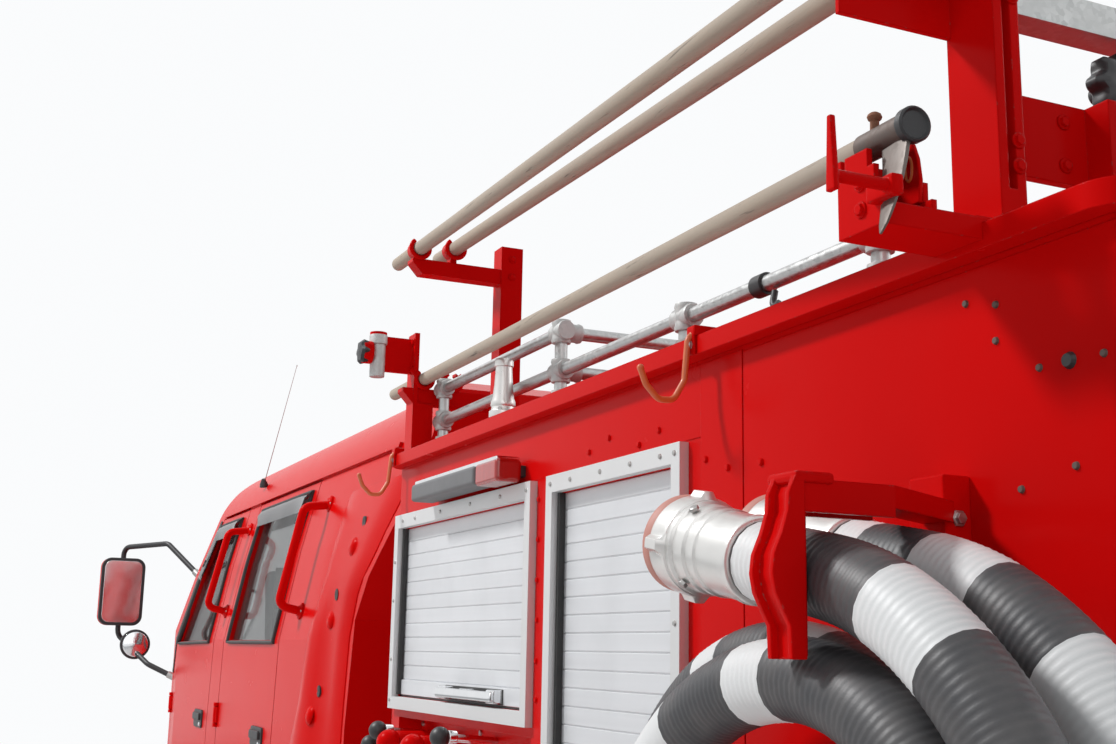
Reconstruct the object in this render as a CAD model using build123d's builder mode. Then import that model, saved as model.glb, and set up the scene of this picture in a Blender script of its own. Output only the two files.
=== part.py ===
"""Crew-cab light fire pumper with side lockers, pole racks and stored suction hoses.

Frame: +X forward, +Y to the vehicle's left, +Z up, millimetres. The origin is on the ground
below the centre of the overall box. Each node is written as one STEP file.
"""
from build123d import *
import math
import os

os.makedirs("parts", exist_ok=True)

# Overall reach
front_x = 2890
rear_x = -2890

# Wheels and axles
front_axle_x = 1760
rear_axle_x = -1200
tyre_radius = 375
tyre_width = 190
rim_radius = 222
front_wheel_y = 735
kingpin_y = 640
king_pin_radius = 17
axle_eye_radius = 26
twin_inner_y = 612
twin_outer_y = 832
arch_radius = 455

# Ladder frame
rail_y = 352
rail_height = 180
rail_width = 62
rail_wall = 8
rail_top_z = 705
frame_rear_x = -2650
frame_front_x = 2560

# Cab
cab_half_width = 912
cab_skirt_z = 560
cab_floor_z = 900
cab_floor_thickness = 40
cab_wall = 42
cab_nose_x = 2820
cab_back_x = -120
cab_roof_z = 2232
belt_z = 1540
window_top_z = 2000
glass_inset = 13
glass_thickness = 5
door_gap = 6
bumper_top_z = 790
bumper_bottom_z = 430

# Equipment body
body_half_width = 940
body_front_x = -710
body_rear_x = -2720
body_skirt_z = 560
deck_z = 1903
body_wall = 36
locker_depth = 480
tunnel_y = 410
rear_block_x = -2020
lip_height = 25
lip_overhang = 25
lip_corner = 48
lip_seat = 60

# Roller shutters: frame edges seen on the body side
header_z = 1798
shutter_frame_width = 24
shutter_frame_depth = 14
curtain_thickness = 9
curtain_setback = 16
bar_height = 34
slat_pitch = 26.8

# Racks and poles
pole_radius = 15
hook_pole_radius = 13
pipe_radius = 10.9
front_rack_x = -790
rear_rack_x = -2504

# Suction hoses
hose_radius = 37.5
coupling_radius = 50

# Gaps: a piece at rest on its seat, and a shaft running in its bore
rest_gap = 0.3
running_gap = 0.05

sides = (("left", 1), ("right", -1))


def save(builder, name):
    """Label a finished sub-part and write it as its own STEP file."""
    builder.part.label = name
    export_step(builder.part, f"parts/{name}.step")


def prism_xz(points, y_low, y_high):
    """Solid whose side outline is given by X, Z points, between two Y planes."""
    with BuildPart() as solid:
        with BuildSketch(Plane.XZ.offset(-y_high)):
            with BuildLine():
                Polyline(*points, close=True)
            make_face()
        extrude(amount=y_high - y_low)
    return solid.part


def box_between(low, high):
    """Plain block between two corners, made outside any builder."""
    size = [high[i] - low[i] for i in range(3)]
    middle = [(high[i] + low[i]) / 2 for i in range(3)]
    return Pos(*middle) * Box(*size, mode=Mode.PRIVATE)


def rounded_bar(points, radius, bend):
    """Round bar or tube outline along a polyline whose corners are tangent arcs."""
    with BuildPart() as bar:
        with BuildLine() as path:
            if bend and len(points) > 2:
                FilletPolyline(*points, radius=bend)
            else:
                Polyline(*points)
        with BuildSketch(Plane(origin=path.line @ 0, z_dir=path.line % 0)):
            Circle(radius)
        sweep(transition=Transition.ROUND)
    return bar.part


# Cab form: side, front and plan outlines
windscreen_foot = (2716, 1190)
windscreen_top = (2082, 2130)
cab_eave = (cab_half_width - 112, 2020)


def cab_volume(inset):
    """The cab's outer form, moved in everywhere by a wall thickness."""
    with BuildPart() as volume:
        with BuildSketch(Plane.XZ):
            with BuildLine():
                Polyline((cab_back_x - 380, 2085), (cab_back_x - 372, 1960), (cab_back_x - 352, 1893),
                         (cab_back_x - 190, 1735), (cab_back_x - 50, 1590), (cab_back_x, 1320),
                         (cab_back_x, 400), (cab_nose_x - 12, 400), (cab_nose_x, 800),
                         (cab_nose_x - 18, 1075), windscreen_foot, windscreen_top)
                ThreePointArc(windscreen_top, (1958, 2192), (1700, 2222))
                Polyline((1700, 2222), (900, cab_roof_z), (200, 2222),
                         (cab_back_x - 200, 2185), (cab_back_x - 345, 2140), (cab_back_x - 380, 2085))
            make_face()
            offset(amount=-inset, kind=Kind.INTERSECTION)
        extrude(amount=1200, both=True)
        with BuildSketch(Plane.YZ):
            with BuildLine():
                Polyline((0, 400), (cab_half_width - 14, 400), (cab_half_width, 760),
                         (cab_half_width, 1250), (cab_half_width - 8, belt_z),
                         (cab_half_width - 58, 1800), cab_eave)
                ThreePointArc(cab_eave, (cab_half_width - 184, 2142), (cab_half_width - 352, 2212))
                Polyline((cab_half_width - 352, 2212), (cab_half_width - 612, 2234), (0, 2240))
                mirror(about=Plane.YZ)
            make_face()
            offset(amount=-inset, kind=Kind.INTERSECTION)
        extrude(amount=3200, both=True, mode=Mode.INTERSECT)
        with BuildSketch(Plane.XY.offset(300)):
            with BuildLine():
                Polyline((-800, 0), (-800, cab_half_width - 40), (0, cab_half_width - 36),
                         (70, cab_half_width - 22), (150, cab_half_width), (2250, cab_half_width),
                         (2420, cab_half_width - 14))
                ThreePointArc((2420, cab_half_width - 14), (2638, cab_half_width - 80),
                              (2752, cab_half_width - 192))
                ThreePointArc((2752, cab_half_width - 192), (2800, cab_half_width - 412), (cab_nose_x, 0))
                mirror(about=Plane.XZ)
            make_face()
            offset(amount=-inset, kind=Kind.INTERSECTION)
        extrude(amount=2200, mode=Mode.INTERSECT)
    return volume.part


def mirrored_outline(points):
    """Close a half outline that starts and ends on the centre line."""
    return points + [(-x, y) for x, y in reversed(points)]


cab_outer = cab_volume(0)
cab_inner = cab_volume(cab_wall)
cab_past_wall = cab_volume(cab_wall + 2)
glass_outer = cab_volume(glass_inset)
glass_inner = cab_volume(glass_inset + glass_thickness)
wall_layer = cab_outer - cab_past_wall
door_layer = cab_outer - cab_inner
glass_layer = glass_outer - glass_inner

# Door outlines on the cab side, X and Z
doors = {
    "front": {
        "outline": [(1540, 2012), (2034, 2012), (2168, 1812), (2400, 1400), (2400, 866), (1540, 866)],
        "window": [(1628, window_top_z - 22), (2012, window_top_z - 22), (2130, 1800),
                   (2282, belt_z - 6), (1628, belt_z)],
        "hinge": (2403, cab_half_width - 9)},
    "rear": {
        "outline": [(522, 2012), (1350, 2012), (1350, 700), (640, 700), (522, 900)],
        "window": [(585, window_top_z - 22), (1262, window_top_z - 22), (1262, belt_z),
                   (585, belt_z)],
        "hinge": (1353, cab_half_width + 4)}}
hinge_pin_radius = 5
hinge_barrel_radius = 9
hinge_heights = (1010, 1290)


def side_prism(points, gap, sign):
    """Outline on one cab side, run through the wall from y = 600 to y = 1000."""
    with BuildPart() as solid:
        with BuildSketch(Plane.XZ.offset(-1000 if sign > 0 else 600)):
            with BuildLine():
                Polyline(*points, close=True)
            make_face()
            if gap:
                offset(amount=gap, kind=Kind.INTERSECTION)
        extrude(amount=400)
    return solid.part


def hinge_barrels(door, sign, on_door):
    """Hinge halves at both heights: the door's bored middle barrel, or the cab's pin and end lugs."""
    x, y = door["hinge"]
    web_y = sorted((sign * (y - 22), sign * (y + 2)))
    with BuildPart() as barrels:
        for z in hinge_heights:
            if on_door:
                add(box_between((x - 22, web_y[0], z - 26), (x - 1, web_y[1], z + 26)))
                with Locations((x, sign * y, z)):
                    Cylinder(hinge_barrel_radius, 52)
                    Cylinder(hinge_pin_radius + running_gap, 60, mode=Mode.SUBTRACT)
            else:
                for z_low in (z - 40, z + 28):
                    add(box_between((x + 1, web_y[0], z_low), (x + 22, web_y[1], z_low + 12)))
                    with Locations((x, sign * y, z_low + 6)):
                        Cylinder(hinge_barrel_radius, 12)
                with Locations((x, sign * y, z)):
                    Cylinder(hinge_pin_radius, 80)
    return barrels.part


def hinge_room(door, sign, offsets, radius, height):
    """Round clearance on the hinge axis, at these offsets from each hinge's middle."""
    x, y = door["hinge"]
    with BuildPart() as room:
        with Locations(*[(x, sign * y, z + offset) for z in hinge_heights for offset in offsets]):
            Cylinder(radius, height)
    return room.part


wheel_arches = [Pos(front_axle_x, sign * 800, tyre_radius) * Rot(90, 0, 0)
                * Cylinder(arch_radius, 600) for _, sign in sides]

screen_outline = mirrored_outline([(0, 1238), (cab_half_width - 170, 1250), (cab_half_width - 122, 1300),
                                   (cab_half_width - 212, 2050), (cab_half_width - 272, 2092), (0, 2104)])

# Drip rails over the doors and the slatted grille in the nose
drip_rail = {"z": 2018, "height": 12, "reach": 9}
grille = {"half_width": 380, "z_low": 880, "z_high": 1010, "depth": 15, "bars": 4, "bar": 11}
grille_floor = cab_volume(grille["depth"])
grille_face = cab_volume(3)

# Cab shell: walls, roof, floor and engine cover
cover_x = (1130, 1960)
cover_half_width = 400
cover_top_z = 1130
with BuildPart() as cab_shell:
    add(cab_outer)
    add(cab_inner & box_between((-900, -1000, cab_floor_z), (3000, 1000, 2600)), mode=Mode.SUBTRACT)
    add(cab_volume(24) & box_between((-900, -1000, 300),
        (3000, 1000, cab_floor_z - cab_floor_thickness)), mode=Mode.SUBTRACT)
    add(box_between((cover_x[0] - 30, -cover_half_width - 30, cab_floor_z - 10),
                    (cover_x[1] + 30, cover_half_width + 30, cover_top_z + 30)))
    add(box_between((cover_x[0], -cover_half_width, cab_floor_z - 200),
                    (cover_x[1], cover_half_width, cover_top_z)), mode=Mode.SUBTRACT)
    add(box_between((-1000, -1100, 300), (3000, 1100, cab_skirt_z)), mode=Mode.SUBTRACT)
    add(box_between((2190, -1100, 300), (3000, 1100, bumper_top_z)), mode=Mode.SUBTRACT)
    add(box_between((cab_back_x - 40, -800, 300), (cab_back_x + 60, 800, cab_floor_z - cab_floor_thickness)),
        mode=Mode.SUBTRACT)
    for arch in wheel_arches:
        add(arch, mode=Mode.SUBTRACT)
    for door in doors.values():
        for _, sign in sides:
            add(side_prism(door["outline"], door_gap, sign) & wall_layer, mode=Mode.SUBTRACT)
            add(hinge_room(door, sign, (0,), hinge_barrel_radius + 3, 56), mode=Mode.SUBTRACT)
            add(hinge_barrels(door, sign, False))
    with BuildSketch(Plane.YZ.offset(1900)):
        Polygon(*screen_outline, align=None)
    extrude(amount=1000, mode=Mode.SUBTRACT)
    for _, sign in sides:
        y_pair = sorted((sign * 600, sign * 1000))
        add((cab_volume(-drip_rail["reach"]) - cab_volume(8)) & box_between(
            (cab_back_x - 140, y_pair[0], drip_rail["z"]),
            (1990, y_pair[1], drip_rail["z"] + drip_rail["height"])))
    add((cab_outer - grille_floor) & box_between((2600, -grille["half_width"], grille["z_low"]),
                                                 (2900, grille["half_width"], grille["z_high"])),
        mode=Mode.SUBTRACT)
    for i in range(1, grille["bars"] + 1):
        z = grille["z_low"] + i * (grille["z_high"] - grille["z_low"]) / (grille["bars"] + 1)
        add((grille_face - cab_volume(grille["depth"] + 1)) & box_between(
            (2600, -grille["half_width"] - 1, z - grille["bar"] / 2),
            (2900, grille["half_width"] + 1, z + grille["bar"] / 2)))
save(cab_shell, "cab_shell")

# Windscreen
with BuildPart() as windscreen:
    with BuildSketch(Plane.YZ.offset(1900)):
        Polygon(*screen_outline, align=None)
    extrude(amount=1000)
    add(glass_layer, mode=Mode.INTERSECT)
save(windscreen, "windscreen")

# Doors with their window glass
for place, door in doors.items():
    for side, sign in sides:
        with BuildPart() as door_panel:
            add(side_prism(door["outline"], 0, sign) & door_layer)
            add(side_prism(door["window"], 0, sign), mode=Mode.SUBTRACT)
            for arch in wheel_arches:
                add(arch, mode=Mode.SUBTRACT)
            add(hinge_room(door, sign, (-34, 34), hinge_barrel_radius + 3, 16), mode=Mode.SUBTRACT)
            add(hinge_barrels(door, sign, True))
            add(hinge_room(door, sign, (0,), hinge_pin_radius + running_gap, 60), mode=Mode.SUBTRACT)
        save(door_panel, f"door_{place}_{side}")
        with BuildPart() as door_glass:
            add(side_prism(door["window"], 0, sign) & glass_layer)
        save(door_glass, f"glass_{place}_{side}")

# Dashboard and steering wheel, right-hand drive
wheel_centre = (2190, -370, 1420)
with BuildPart() as dashboard:
    with BuildSketch(Plane.XZ.offset(790)):
        with BuildLine():
            Polyline((2330, 930), (2330, 1140), (2270, 1200), (2290, 1262), (2420, 1290), (2560, 1262),
                     (2700, 1120), (2700, 930), close=True)
        make_face()
    extrude(amount=-1580)
    add(cab_inner, mode=Mode.INTERSECT)
with BuildPart() as steering_wheel:
    wheel_plane = Plane(origin=wheel_centre, z_dir=(-0.62, 0, 0.78))
    with BuildSketch(wheel_plane):
        Circle(42)
    extrude(amount=18, both=True)
    with BuildSketch(Plane(origin=wheel_plane.origin + wheel_plane.x_dir * 190,
                           z_dir=wheel_plane.y_dir, x_dir=wheel_plane.x_dir)):
        Circle(14)
    revolve(axis=Axis(wheel_plane.origin, wheel_plane.z_dir))
    with BuildSketch(wheel_plane.offset(-6)):
        with PolarLocations(105, 3, 60):
            Rectangle(170, 30)
    extrude(amount=12)
    with BuildSketch(wheel_plane):
        Circle(24)
    extrude(amount=-230)
with BuildPart() as dash_assembly:
    add(dashboard.part)
    add(steering_wheel.part)
save(dash_assembly, "dashboard")

# Seats: two in front, one bench behind, each cushion on its base
seat_rows = (("x", "y", "width", "cushion_z"),
             (1560, 545, 470, 1170), (1560, -545, 470, 1170), (1560, 0, 440, 1170), (330, 0, 1500, 1150))
with BuildPart() as seats:
    for x, y, width, cushion_z in seat_rows[1:]:
        with BuildSketch(Plane.XZ.offset(-(y + width / 2))):
            with BuildLine():
                Polyline((x - 250, cushion_z), (x + 250, cushion_z + 14), (x + 255, cushion_z + 110),
                         (x - 130, cushion_z + 95), (x - 235, cushion_z + 640),
                         (x - 330, cushion_z + 640), (x - 262, cushion_z + 60), close=True)
            make_face()
        extrude(amount=width)
        base_low = cover_top_z + 30 if y == 0 and x > 1000 else cab_floor_z
        add(box_between((x - 230, y - width / 2 + 30, base_low),
                        (x + 230, y + width / 2 - 30, cushion_z + 2)))
    add(box_between((cover_x[0] - 32, -cover_half_width - 32, cab_floor_z - 20),
                    (cover_x[1] + 32, cover_half_width + 32, cover_top_z + 30)), mode=Mode.SUBTRACT)
save(seats, "seats")

headlamp = {"x_back": 2700, "y": 600, "z": 620, "width": 300, "height": 170, "corner": 30}

# Front bumper follows the cab's plan and wraps round both corners
with BuildPart() as front_bumper:
    with BuildSketch(Plane.XY.offset(bumper_bottom_z)):
        with BuildLine():
            Polyline((2240, 0), (2240, 905), (2420, 905), (2600, 880), (2740, 820), (2826, 700),
                     (2870, 480), (front_x, 0))
            mirror(about=Plane.XZ)
        make_face()
    extrude(amount=bumper_top_z - bumper_bottom_z - 10)
    with BuildSketch(Plane.XY.offset(bumper_bottom_z)):
        with BuildLine():
            Polyline((2200, 0), (2200, 860), (2420, 860), (2570, 835), (2690, 780), (2770, 670),
                     (2810, 460), (front_x - 60, 0))
            mirror(about=Plane.XZ)
        make_face()
    extrude(amount=bumper_top_z - bumper_bottom_z - 10, mode=Mode.SUBTRACT)
    chamfer(front_bumper.edges().filter_by(GeomType.LINE).group_by(Axis.Z)[-1], 6)
    for _, sign in sides:
        add(box_between((frame_front_x, sign * rail_y - 31, 530), (front_x - 58, sign * rail_y + 31, 690)))
        add(box_between((frame_front_x, sign * rail_y - 12, 380), (front_x - 70, sign * rail_y + 12, 536)))
    for _, sign in sides:
        with Locations(Location((front_x - 120, sign * rail_y, 425), (90, 0, 0))):
            Hole(20)
    with BuildSketch(Plane.YZ.offset(headlamp["x_back"])):
        with Locations((headlamp["y"], headlamp["z"]), (-headlamp["y"], headlamp["z"])):
            RectangleRounded(headlamp["width"], headlamp["height"], headlamp["corner"])
    extrude(amount=300, mode=Mode.SUBTRACT)
save(front_bumper, "front_bumper")

# Ladder frame with cross members and cab mounts
cross_members = (-2600, -1900, -1560, -860, -300, 700, 2300)
cab_mounts = ((2380, rail_y), (620, rail_y))
with BuildPart() as chassis_frame:
    for _, sign in sides:
        with BuildSketch(Plane.YZ.offset(frame_rear_x)):
            with Locations((sign * rail_y, rail_top_z - rail_height / 2)):
                Rectangle(rail_width, rail_height)
            with Locations((sign * (rail_y - rail_wall), rail_top_z - rail_height / 2)):
                Rectangle(rail_width, rail_height - 2 * rail_wall, mode=Mode.SUBTRACT)
    extrude(amount=frame_front_x - frame_rear_x)
    inner_reach = rail_y + rail_width / 2 - rail_wall
    for x in cross_members:
        add(box_between((x - 35, -inner_reach, rail_top_z - 130), (x + 35, inner_reach, rail_top_z - 50)))
    for x, y in cab_mounts:
        for _, sign in sides:
            add(box_between((x - 45, sign * y - 30, rail_top_z),
                            (x + 45, sign * y + 30, cab_floor_z - cab_floor_thickness)))
save(chassis_frame, "chassis_frame")

# Engine: one plain closed block below its cover
with BuildPart() as engine:
    add(box_between((1180, -290, 470), (1900, 290, 1060)))
    add(box_between((1300, -322, 560), (1380, 322, 610)))
save(engine, "engine")

# Front axle: dropped beam, king pin eyes and leaf springs
with BuildPart() as front_axle:
    with BuildSketch(Plane.YZ.offset(front_axle_x - 35)):
        with BuildLine():
            Polyline((0, 300), (430, 300), (520, 350), (kingpin_y, 350), (kingpin_y, 410),
                     (490, 410), (420, 370), (0, 370))
            mirror(about=Plane.YZ)
        make_face()
    extrude(amount=70)
    for _, sign in sides:
        with Locations((front_axle_x, sign * kingpin_y, 380)):
            Cylinder(axle_eye_radius, 60)
            Cylinder(king_pin_radius, 200)
        for leaf in range(3):
            half = 560 - leaf * 150
            add(box_between((front_axle_x - half, sign * rail_y - 30, 400 - leaf * 12),
                            (front_axle_x + half, sign * rail_y + 30, 412 - leaf * 12)))
        add(box_between((front_axle_x - 50, sign * rail_y - 34, 366),
                        (front_axle_x + 50, sign * rail_y + 34, 380)))
        for end in (-540, 540):
            add(box_between((front_axle_x + end - 20, sign * rail_y - 28, 408),
                            (front_axle_x + end + 20, sign * rail_y + 28, rail_top_z - rail_height)))
save(front_axle, "front_axle")

# Knuckles turn on the king pins and carry the front wheel spindles
spindle_radius = 30
for side, sign in sides:
    with BuildPart() as knuckle:
        y_pair = sorted((sign * kingpin_y, sign * (kingpin_y + 40)))
        for z_low, z_high in ((290, 345), (415, 470)):
            with Locations((front_axle_x, sign * kingpin_y, (z_low + z_high) / 2)):
                Cylinder(38, z_high - z_low)
            add(box_between((front_axle_x - 38, y_pair[0], z_low), (front_axle_x + 38, y_pair[1], z_high)))
        y_inner = sign * (kingpin_y + 32)
        y_back = sign * (kingpin_y + 58)
        low, high = min(y_inner, y_back), max(y_inner, y_back)
        add(box_between((front_axle_x - 38, low, 290), (front_axle_x + 38, high, 470)))
        with Locations((front_axle_x, sign * kingpin_y, 380)):
            Hole(king_pin_radius + running_gap)
        with Locations(Location((front_axle_x, sign * (kingpin_y + 58 + 51), tyre_radius), (90, 0, 0))):
            Cylinder(spindle_radius, 102)
        add(box_between((front_axle_x - 190, sign * kingpin_y - 18, 296),
                        (front_axle_x - 30, sign * kingpin_y + 18, 326)))
    save(knuckle, f"knuckle_{side}")


def tyre_ring(y_centre):
    """One tyre as a closed ring with rounded shoulders, turning about its axle."""
    half = tyre_width / 2
    with BuildPart() as ring:
        with BuildSketch(Plane.YZ):
            with BuildLine():
                Polyline((y_centre - half + 24, rim_radius), (y_centre - half + 6, rim_radius + 30),
                         (y_centre - half, 300), (y_centre - half + 6, 346), (y_centre - half + 26, 368),
                         (y_centre - 40, tyre_radius), (y_centre + 40, tyre_radius),
                         (y_centre + half - 26, 368), (y_centre + half - 6, 346),
                         (y_centre + half, 300), (y_centre + half - 6, rim_radius + 30),
                         (y_centre + half - 24, rim_radius), close=True)
            make_face()
        revolve(axis=Axis.Y)
    return ring.part


def rim_disc(y_centre, dish, hub_bore):
    """One steel disc wheel; dish is the sign of the side its centre stands proud of."""
    half = tyre_width / 2 - 24
    face = y_centre + dish * 40
    with BuildPart() as rim:
        with BuildSketch(Plane.YZ):
            with BuildLine():
                Polyline((y_centre - half, rim_radius), (y_centre - half, rim_radius - 8),
                         (y_centre - half + 20, rim_radius - 16), (y_centre - half + 34, rim_radius - 34),
                         (y_centre + half - 34, rim_radius - 34), (y_centre + half - 20, rim_radius - 16),
                         (y_centre + half, rim_radius - 8), (y_centre + half, rim_radius), close=True)
            make_face()
            with BuildLine():
                Polyline((face - 8, hub_bore), (face + 4, hub_bore), (face + 4, 120),
                         (face - dish * 26 + 4, 150), (y_centre + 4, rim_radius - 30),
                         (y_centre - 8, rim_radius - 30), (face - dish * 26 - 8, 150), (face - 8, 120),
                         close=True)
            make_face()
        revolve(axis=Axis.Y)
        with Locations(Location((0, y_centre, 0), (90, 0, 0))):
            with PolarLocations(165, 8):
                Hole(20, depth=200)
    return rim.part


# Front wheels, each turning on its spindle
for side, sign in sides:
    with BuildPart() as hub:
        with Locations(Location((0, sign * (front_wheel_y + 10), 0), (90, 0, 0))):
            Cylinder(75, 60)
        with Locations(Location((0, sign * (front_wheel_y + 48), 0), (90, 0, 0))):
            Cylinder(58, 60)
        with Locations(Location((0, sign * (front_wheel_y + 10), 0), (90, 0, 0))):
            Cylinder(spindle_radius + running_gap, 2 * 60, mode=Mode.SUBTRACT)
    with BuildPart() as wheel:
        add(rim_disc(sign * front_wheel_y, sign, 60))
        add(hub.part)
        with Locations(Location((0, sign * (front_wheel_y + 46), 0), (90, 0, 0))):
            with PolarLocations(95, 6):
                Cylinder(13, 22)
    with BuildPart() as placed_wheel:
        add(Pos(front_axle_x, 0, tyre_radius) * wheel.part)
    save(placed_wheel, f"wheel_front_{side}")
    with BuildPart() as placed_tyre:
        add(Pos(front_axle_x, 0, tyre_radius) * tyre_ring(sign * front_wheel_y))
    save(placed_tyre, f"tyre_front_{side}")

# Rear twin wheels, each pair on one hub
axle_tube_radius = 44
for side, sign in sides:
    middle = sign * (twin_inner_y + twin_outer_y) / 2
    with BuildPart() as twin_hub:
        with Locations(Location((0, middle, 0), (90, 0, 0))):
            Cylinder(78, 200)
        with Locations(Location((0, sign * (twin_outer_y + 10), 0), (90, 0, 0))):
            Cylinder(58, 90)
        with Locations(Location((0, middle - sign * 20, 0), (90, 0, 0))):
            Cylinder(axle_tube_radius + running_gap, 250, mode=Mode.SUBTRACT)
    with BuildPart() as twins:
        add(rim_disc(sign * twin_inner_y, sign, 60))
        add(rim_disc(sign * twin_outer_y, -sign, 50))
        add(twin_hub.part)
        with Locations(Location((0, middle + sign * 85, 0), (90, 0, 0))):
            with PolarLocations(95, 6):
                Cylinder(13, 40)
    with BuildPart() as bored_twins:
        add(Pos(rear_axle_x, 0, tyre_radius) * twins.part)
        with Locations(Location((rear_axle_x, middle - sign * 60, tyre_radius), (90, 0, 0))):
            Cylinder(axle_tube_radius + running_gap, 330, mode=Mode.SUBTRACT)
    save(bored_twins, f"wheels_rear_{side}")
    with BuildPart() as twin_tyres:
        add(Pos(rear_axle_x, 0, tyre_radius) * tyre_ring(sign * twin_inner_y))
        add(Pos(rear_axle_x, 0, tyre_radius) * tyre_ring(sign * twin_outer_y))
    save(twin_tyres, f"tyres_rear_{side}")

# Rear axle: tube, differential housing and leaf springs
with BuildPart() as rear_axle:
    with Locations(Location((rear_axle_x, 0, tyre_radius), (90, 0, 0))):
        Cylinder(axle_tube_radius, 2 * 770)
    with Locations((rear_axle_x, 0, tyre_radius)):
        Sphere(150)
    with Locations(Location((rear_axle_x + 165, 0, 400), (0, 90, 0))):
        Cylinder(45, 50)
    for _, sign in sides:
        for leaf in range(4):
            half = 600 - leaf * 130
            add(box_between((rear_axle_x - half, sign * rail_y - 32, 450 - leaf * 12),
                            (rear_axle_x + half, sign * rail_y + 32, 462 - leaf * 12)))
        for end in (-580, 580):
            add(box_between((rear_axle_x + end - 20, sign * rail_y - 28, 458),
                            (rear_axle_x + end + 20, sign * rail_y + 28, rail_top_z - rail_height)))
save(rear_axle, "rear_axle")

# Underbody: propeller shaft, fuel tank and exhaust
with BuildPart() as underbody:
    add(box_between((-250, 395, 470), (480, 780, 800)))
    fillet(underbody.edges().filter_by(Axis.X), 30)
    rail_outside = rail_y + rail_width / 2
    add(box_between((-60, rail_outside, 560), (-20, 400, 690)))
    add(box_between((260, rail_outside, 560), (300, 400, 690)))
    add(rounded_bar([(rear_axle_x + 193, 0, 400), (1177, 0, 560)], 34, 0))
    add(rounded_bar([(1179.7, -200, 520), (1020, -200, 520), (800, -500, 430), (300, -500, 430)], 26, 90))
    with Locations(Location((60, -500, 430), (0, 90, 0))):
        Cylinder(95, 560)
    add(box_between((40, -500, 500), (80, -440, 690)))
    add(box_between((40, -440, 650), (80, -rail_outside, 690)))
    add(rounded_bar([(-210, -500, 430), (-420, -500, 430), (-560, -760, 430), (-600, -900, 430)], 26, 90))
save(underbody, "underbody")

# Side outlines of the roller shutters on the body, one row a shutter
shutter_rows = {
    "fore": {"x_front": -721, "x_rear": -1457, "z_low": 1401},
    "aft": {"x_front": -1522, "x_rear": -1964, "z_low": 1022}}
rear_shutter = {"half_width": 520, "z_low": 930}

# Equipment body: outer skin, lockers, pump bays and wheel arches, cut below into its built-up parts
pump_bay = {"x_front": -760, "x_rear": -1450, "z_low": 900, "z_high": 1385, "depth": 60}
with BuildPart() as whole_body:
    add(box_between((body_rear_x, -body_half_width, body_skirt_z), (body_front_x, body_half_width, deck_z)))
    add(box_between((body_rear_x - 10, -rail_y - 60, 300),
                    (body_front_x + 10, rail_y + 60, rail_top_z)), mode=Mode.SUBTRACT)
    for _, sign in sides:
        with Locations(Location((rear_axle_x, sign * 760, tyre_radius), (90, 0, 0))):
            Cylinder(arch_radius, 620, mode=Mode.SUBTRACT)
        for row in shutter_rows.values():
            y_pair = sorted((sign * (body_half_width + 10), sign * (body_half_width - locker_depth)))
            add(box_between((row["x_rear"] + shutter_frame_width, y_pair[0],
                             row["z_low"] + shutter_frame_width),
                            (row["x_front"] - shutter_frame_width, y_pair[1], header_z - 28)),
                mode=Mode.SUBTRACT)
        y_pair = sorted((sign * (body_half_width + 10), sign * (body_half_width - pump_bay["depth"])))
        add(box_between((pump_bay["x_rear"], y_pair[0], pump_bay["z_low"]),
                        (pump_bay["x_front"], y_pair[1], pump_bay["z_high"])), mode=Mode.SUBTRACT)
        y_pair = sorted((sign * (body_half_width + 10), sign * (rail_y + 90)))
        add(box_between((body_rear_x + 40, y_pair[0], body_skirt_z - 10),
                        (rear_axle_x - arch_radius - 80, y_pair[1], body_skirt_z)),
            mode=Mode.SUBTRACT)
    add(box_between((body_rear_x - 10, -rear_shutter["half_width"] + shutter_frame_width,
                     rear_shutter["z_low"] + shutter_frame_width),
                    (body_rear_x + 640, rear_shutter["half_width"] - shutter_frame_width, header_z - 28)),
        mode=Mode.SUBTRACT)
    add(box_between((rear_block_x, -tunnel_y, 780), (body_front_x - body_wall, tunnel_y, deck_z - body_wall)),
        mode=Mode.SUBTRACT)
    fillet(whole_body.edges().filter_by(Axis.Z).group_by(Axis.X)[0].group_by(Axis.Y)[-1], 22)
    fillet(whole_body.edges().filter_by(Axis.Z).group_by(Axis.X)[0].group_by(Axis.Y)[0], 22)

# The body's four parts: deck with its front wall and tunnel floor, two side blocks, rear block
deck_under_z = deck_z - body_wall
side_rooms = {side: box_between((rear_block_x, min(sign * tunnel_y, sign * 1000), 300),
                                (0, max(sign * tunnel_y, sign * 1000), deck_under_z)) for side, sign in sides}
rear_room = box_between((-3000, -1000, 300), (rear_block_x, 1000, deck_under_z))
for side, room in side_rooms.items():
    with BuildPart() as body_side:
        add(whole_body.part & room)
    save(body_side, f"body_side_{side}")
with BuildPart() as body_rear:
    add(whole_body.part & rear_room)
save(body_rear, "body_rear")
with BuildPart() as body_core:
    add(whole_body.part)
    for room in (*side_rooms.values(), rear_room):
        add(room, mode=Mode.SUBTRACT)
save(body_core, "body_core")

# Roof lip: a folded strip round the deck edge
with BuildPart() as roof_gutter:
    with BuildSketch(Plane.XY.offset(deck_z)):
        RectangleRounded(body_front_x - body_rear_x + 2 * lip_overhang, 2 * (body_half_width + lip_overhang),
                         lip_corner)
        Rectangle(body_front_x - body_rear_x - 2 * lip_seat, 2 * (body_half_width - lip_seat),
                  mode=Mode.SUBTRACT)
    extrude(amount=lip_height)
with BuildPart() as placed_gutter:
    add(Pos((body_front_x + body_rear_x) / 2, 0, 0) * roof_gutter.part)
save(placed_gutter, "roof_gutter")

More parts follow.
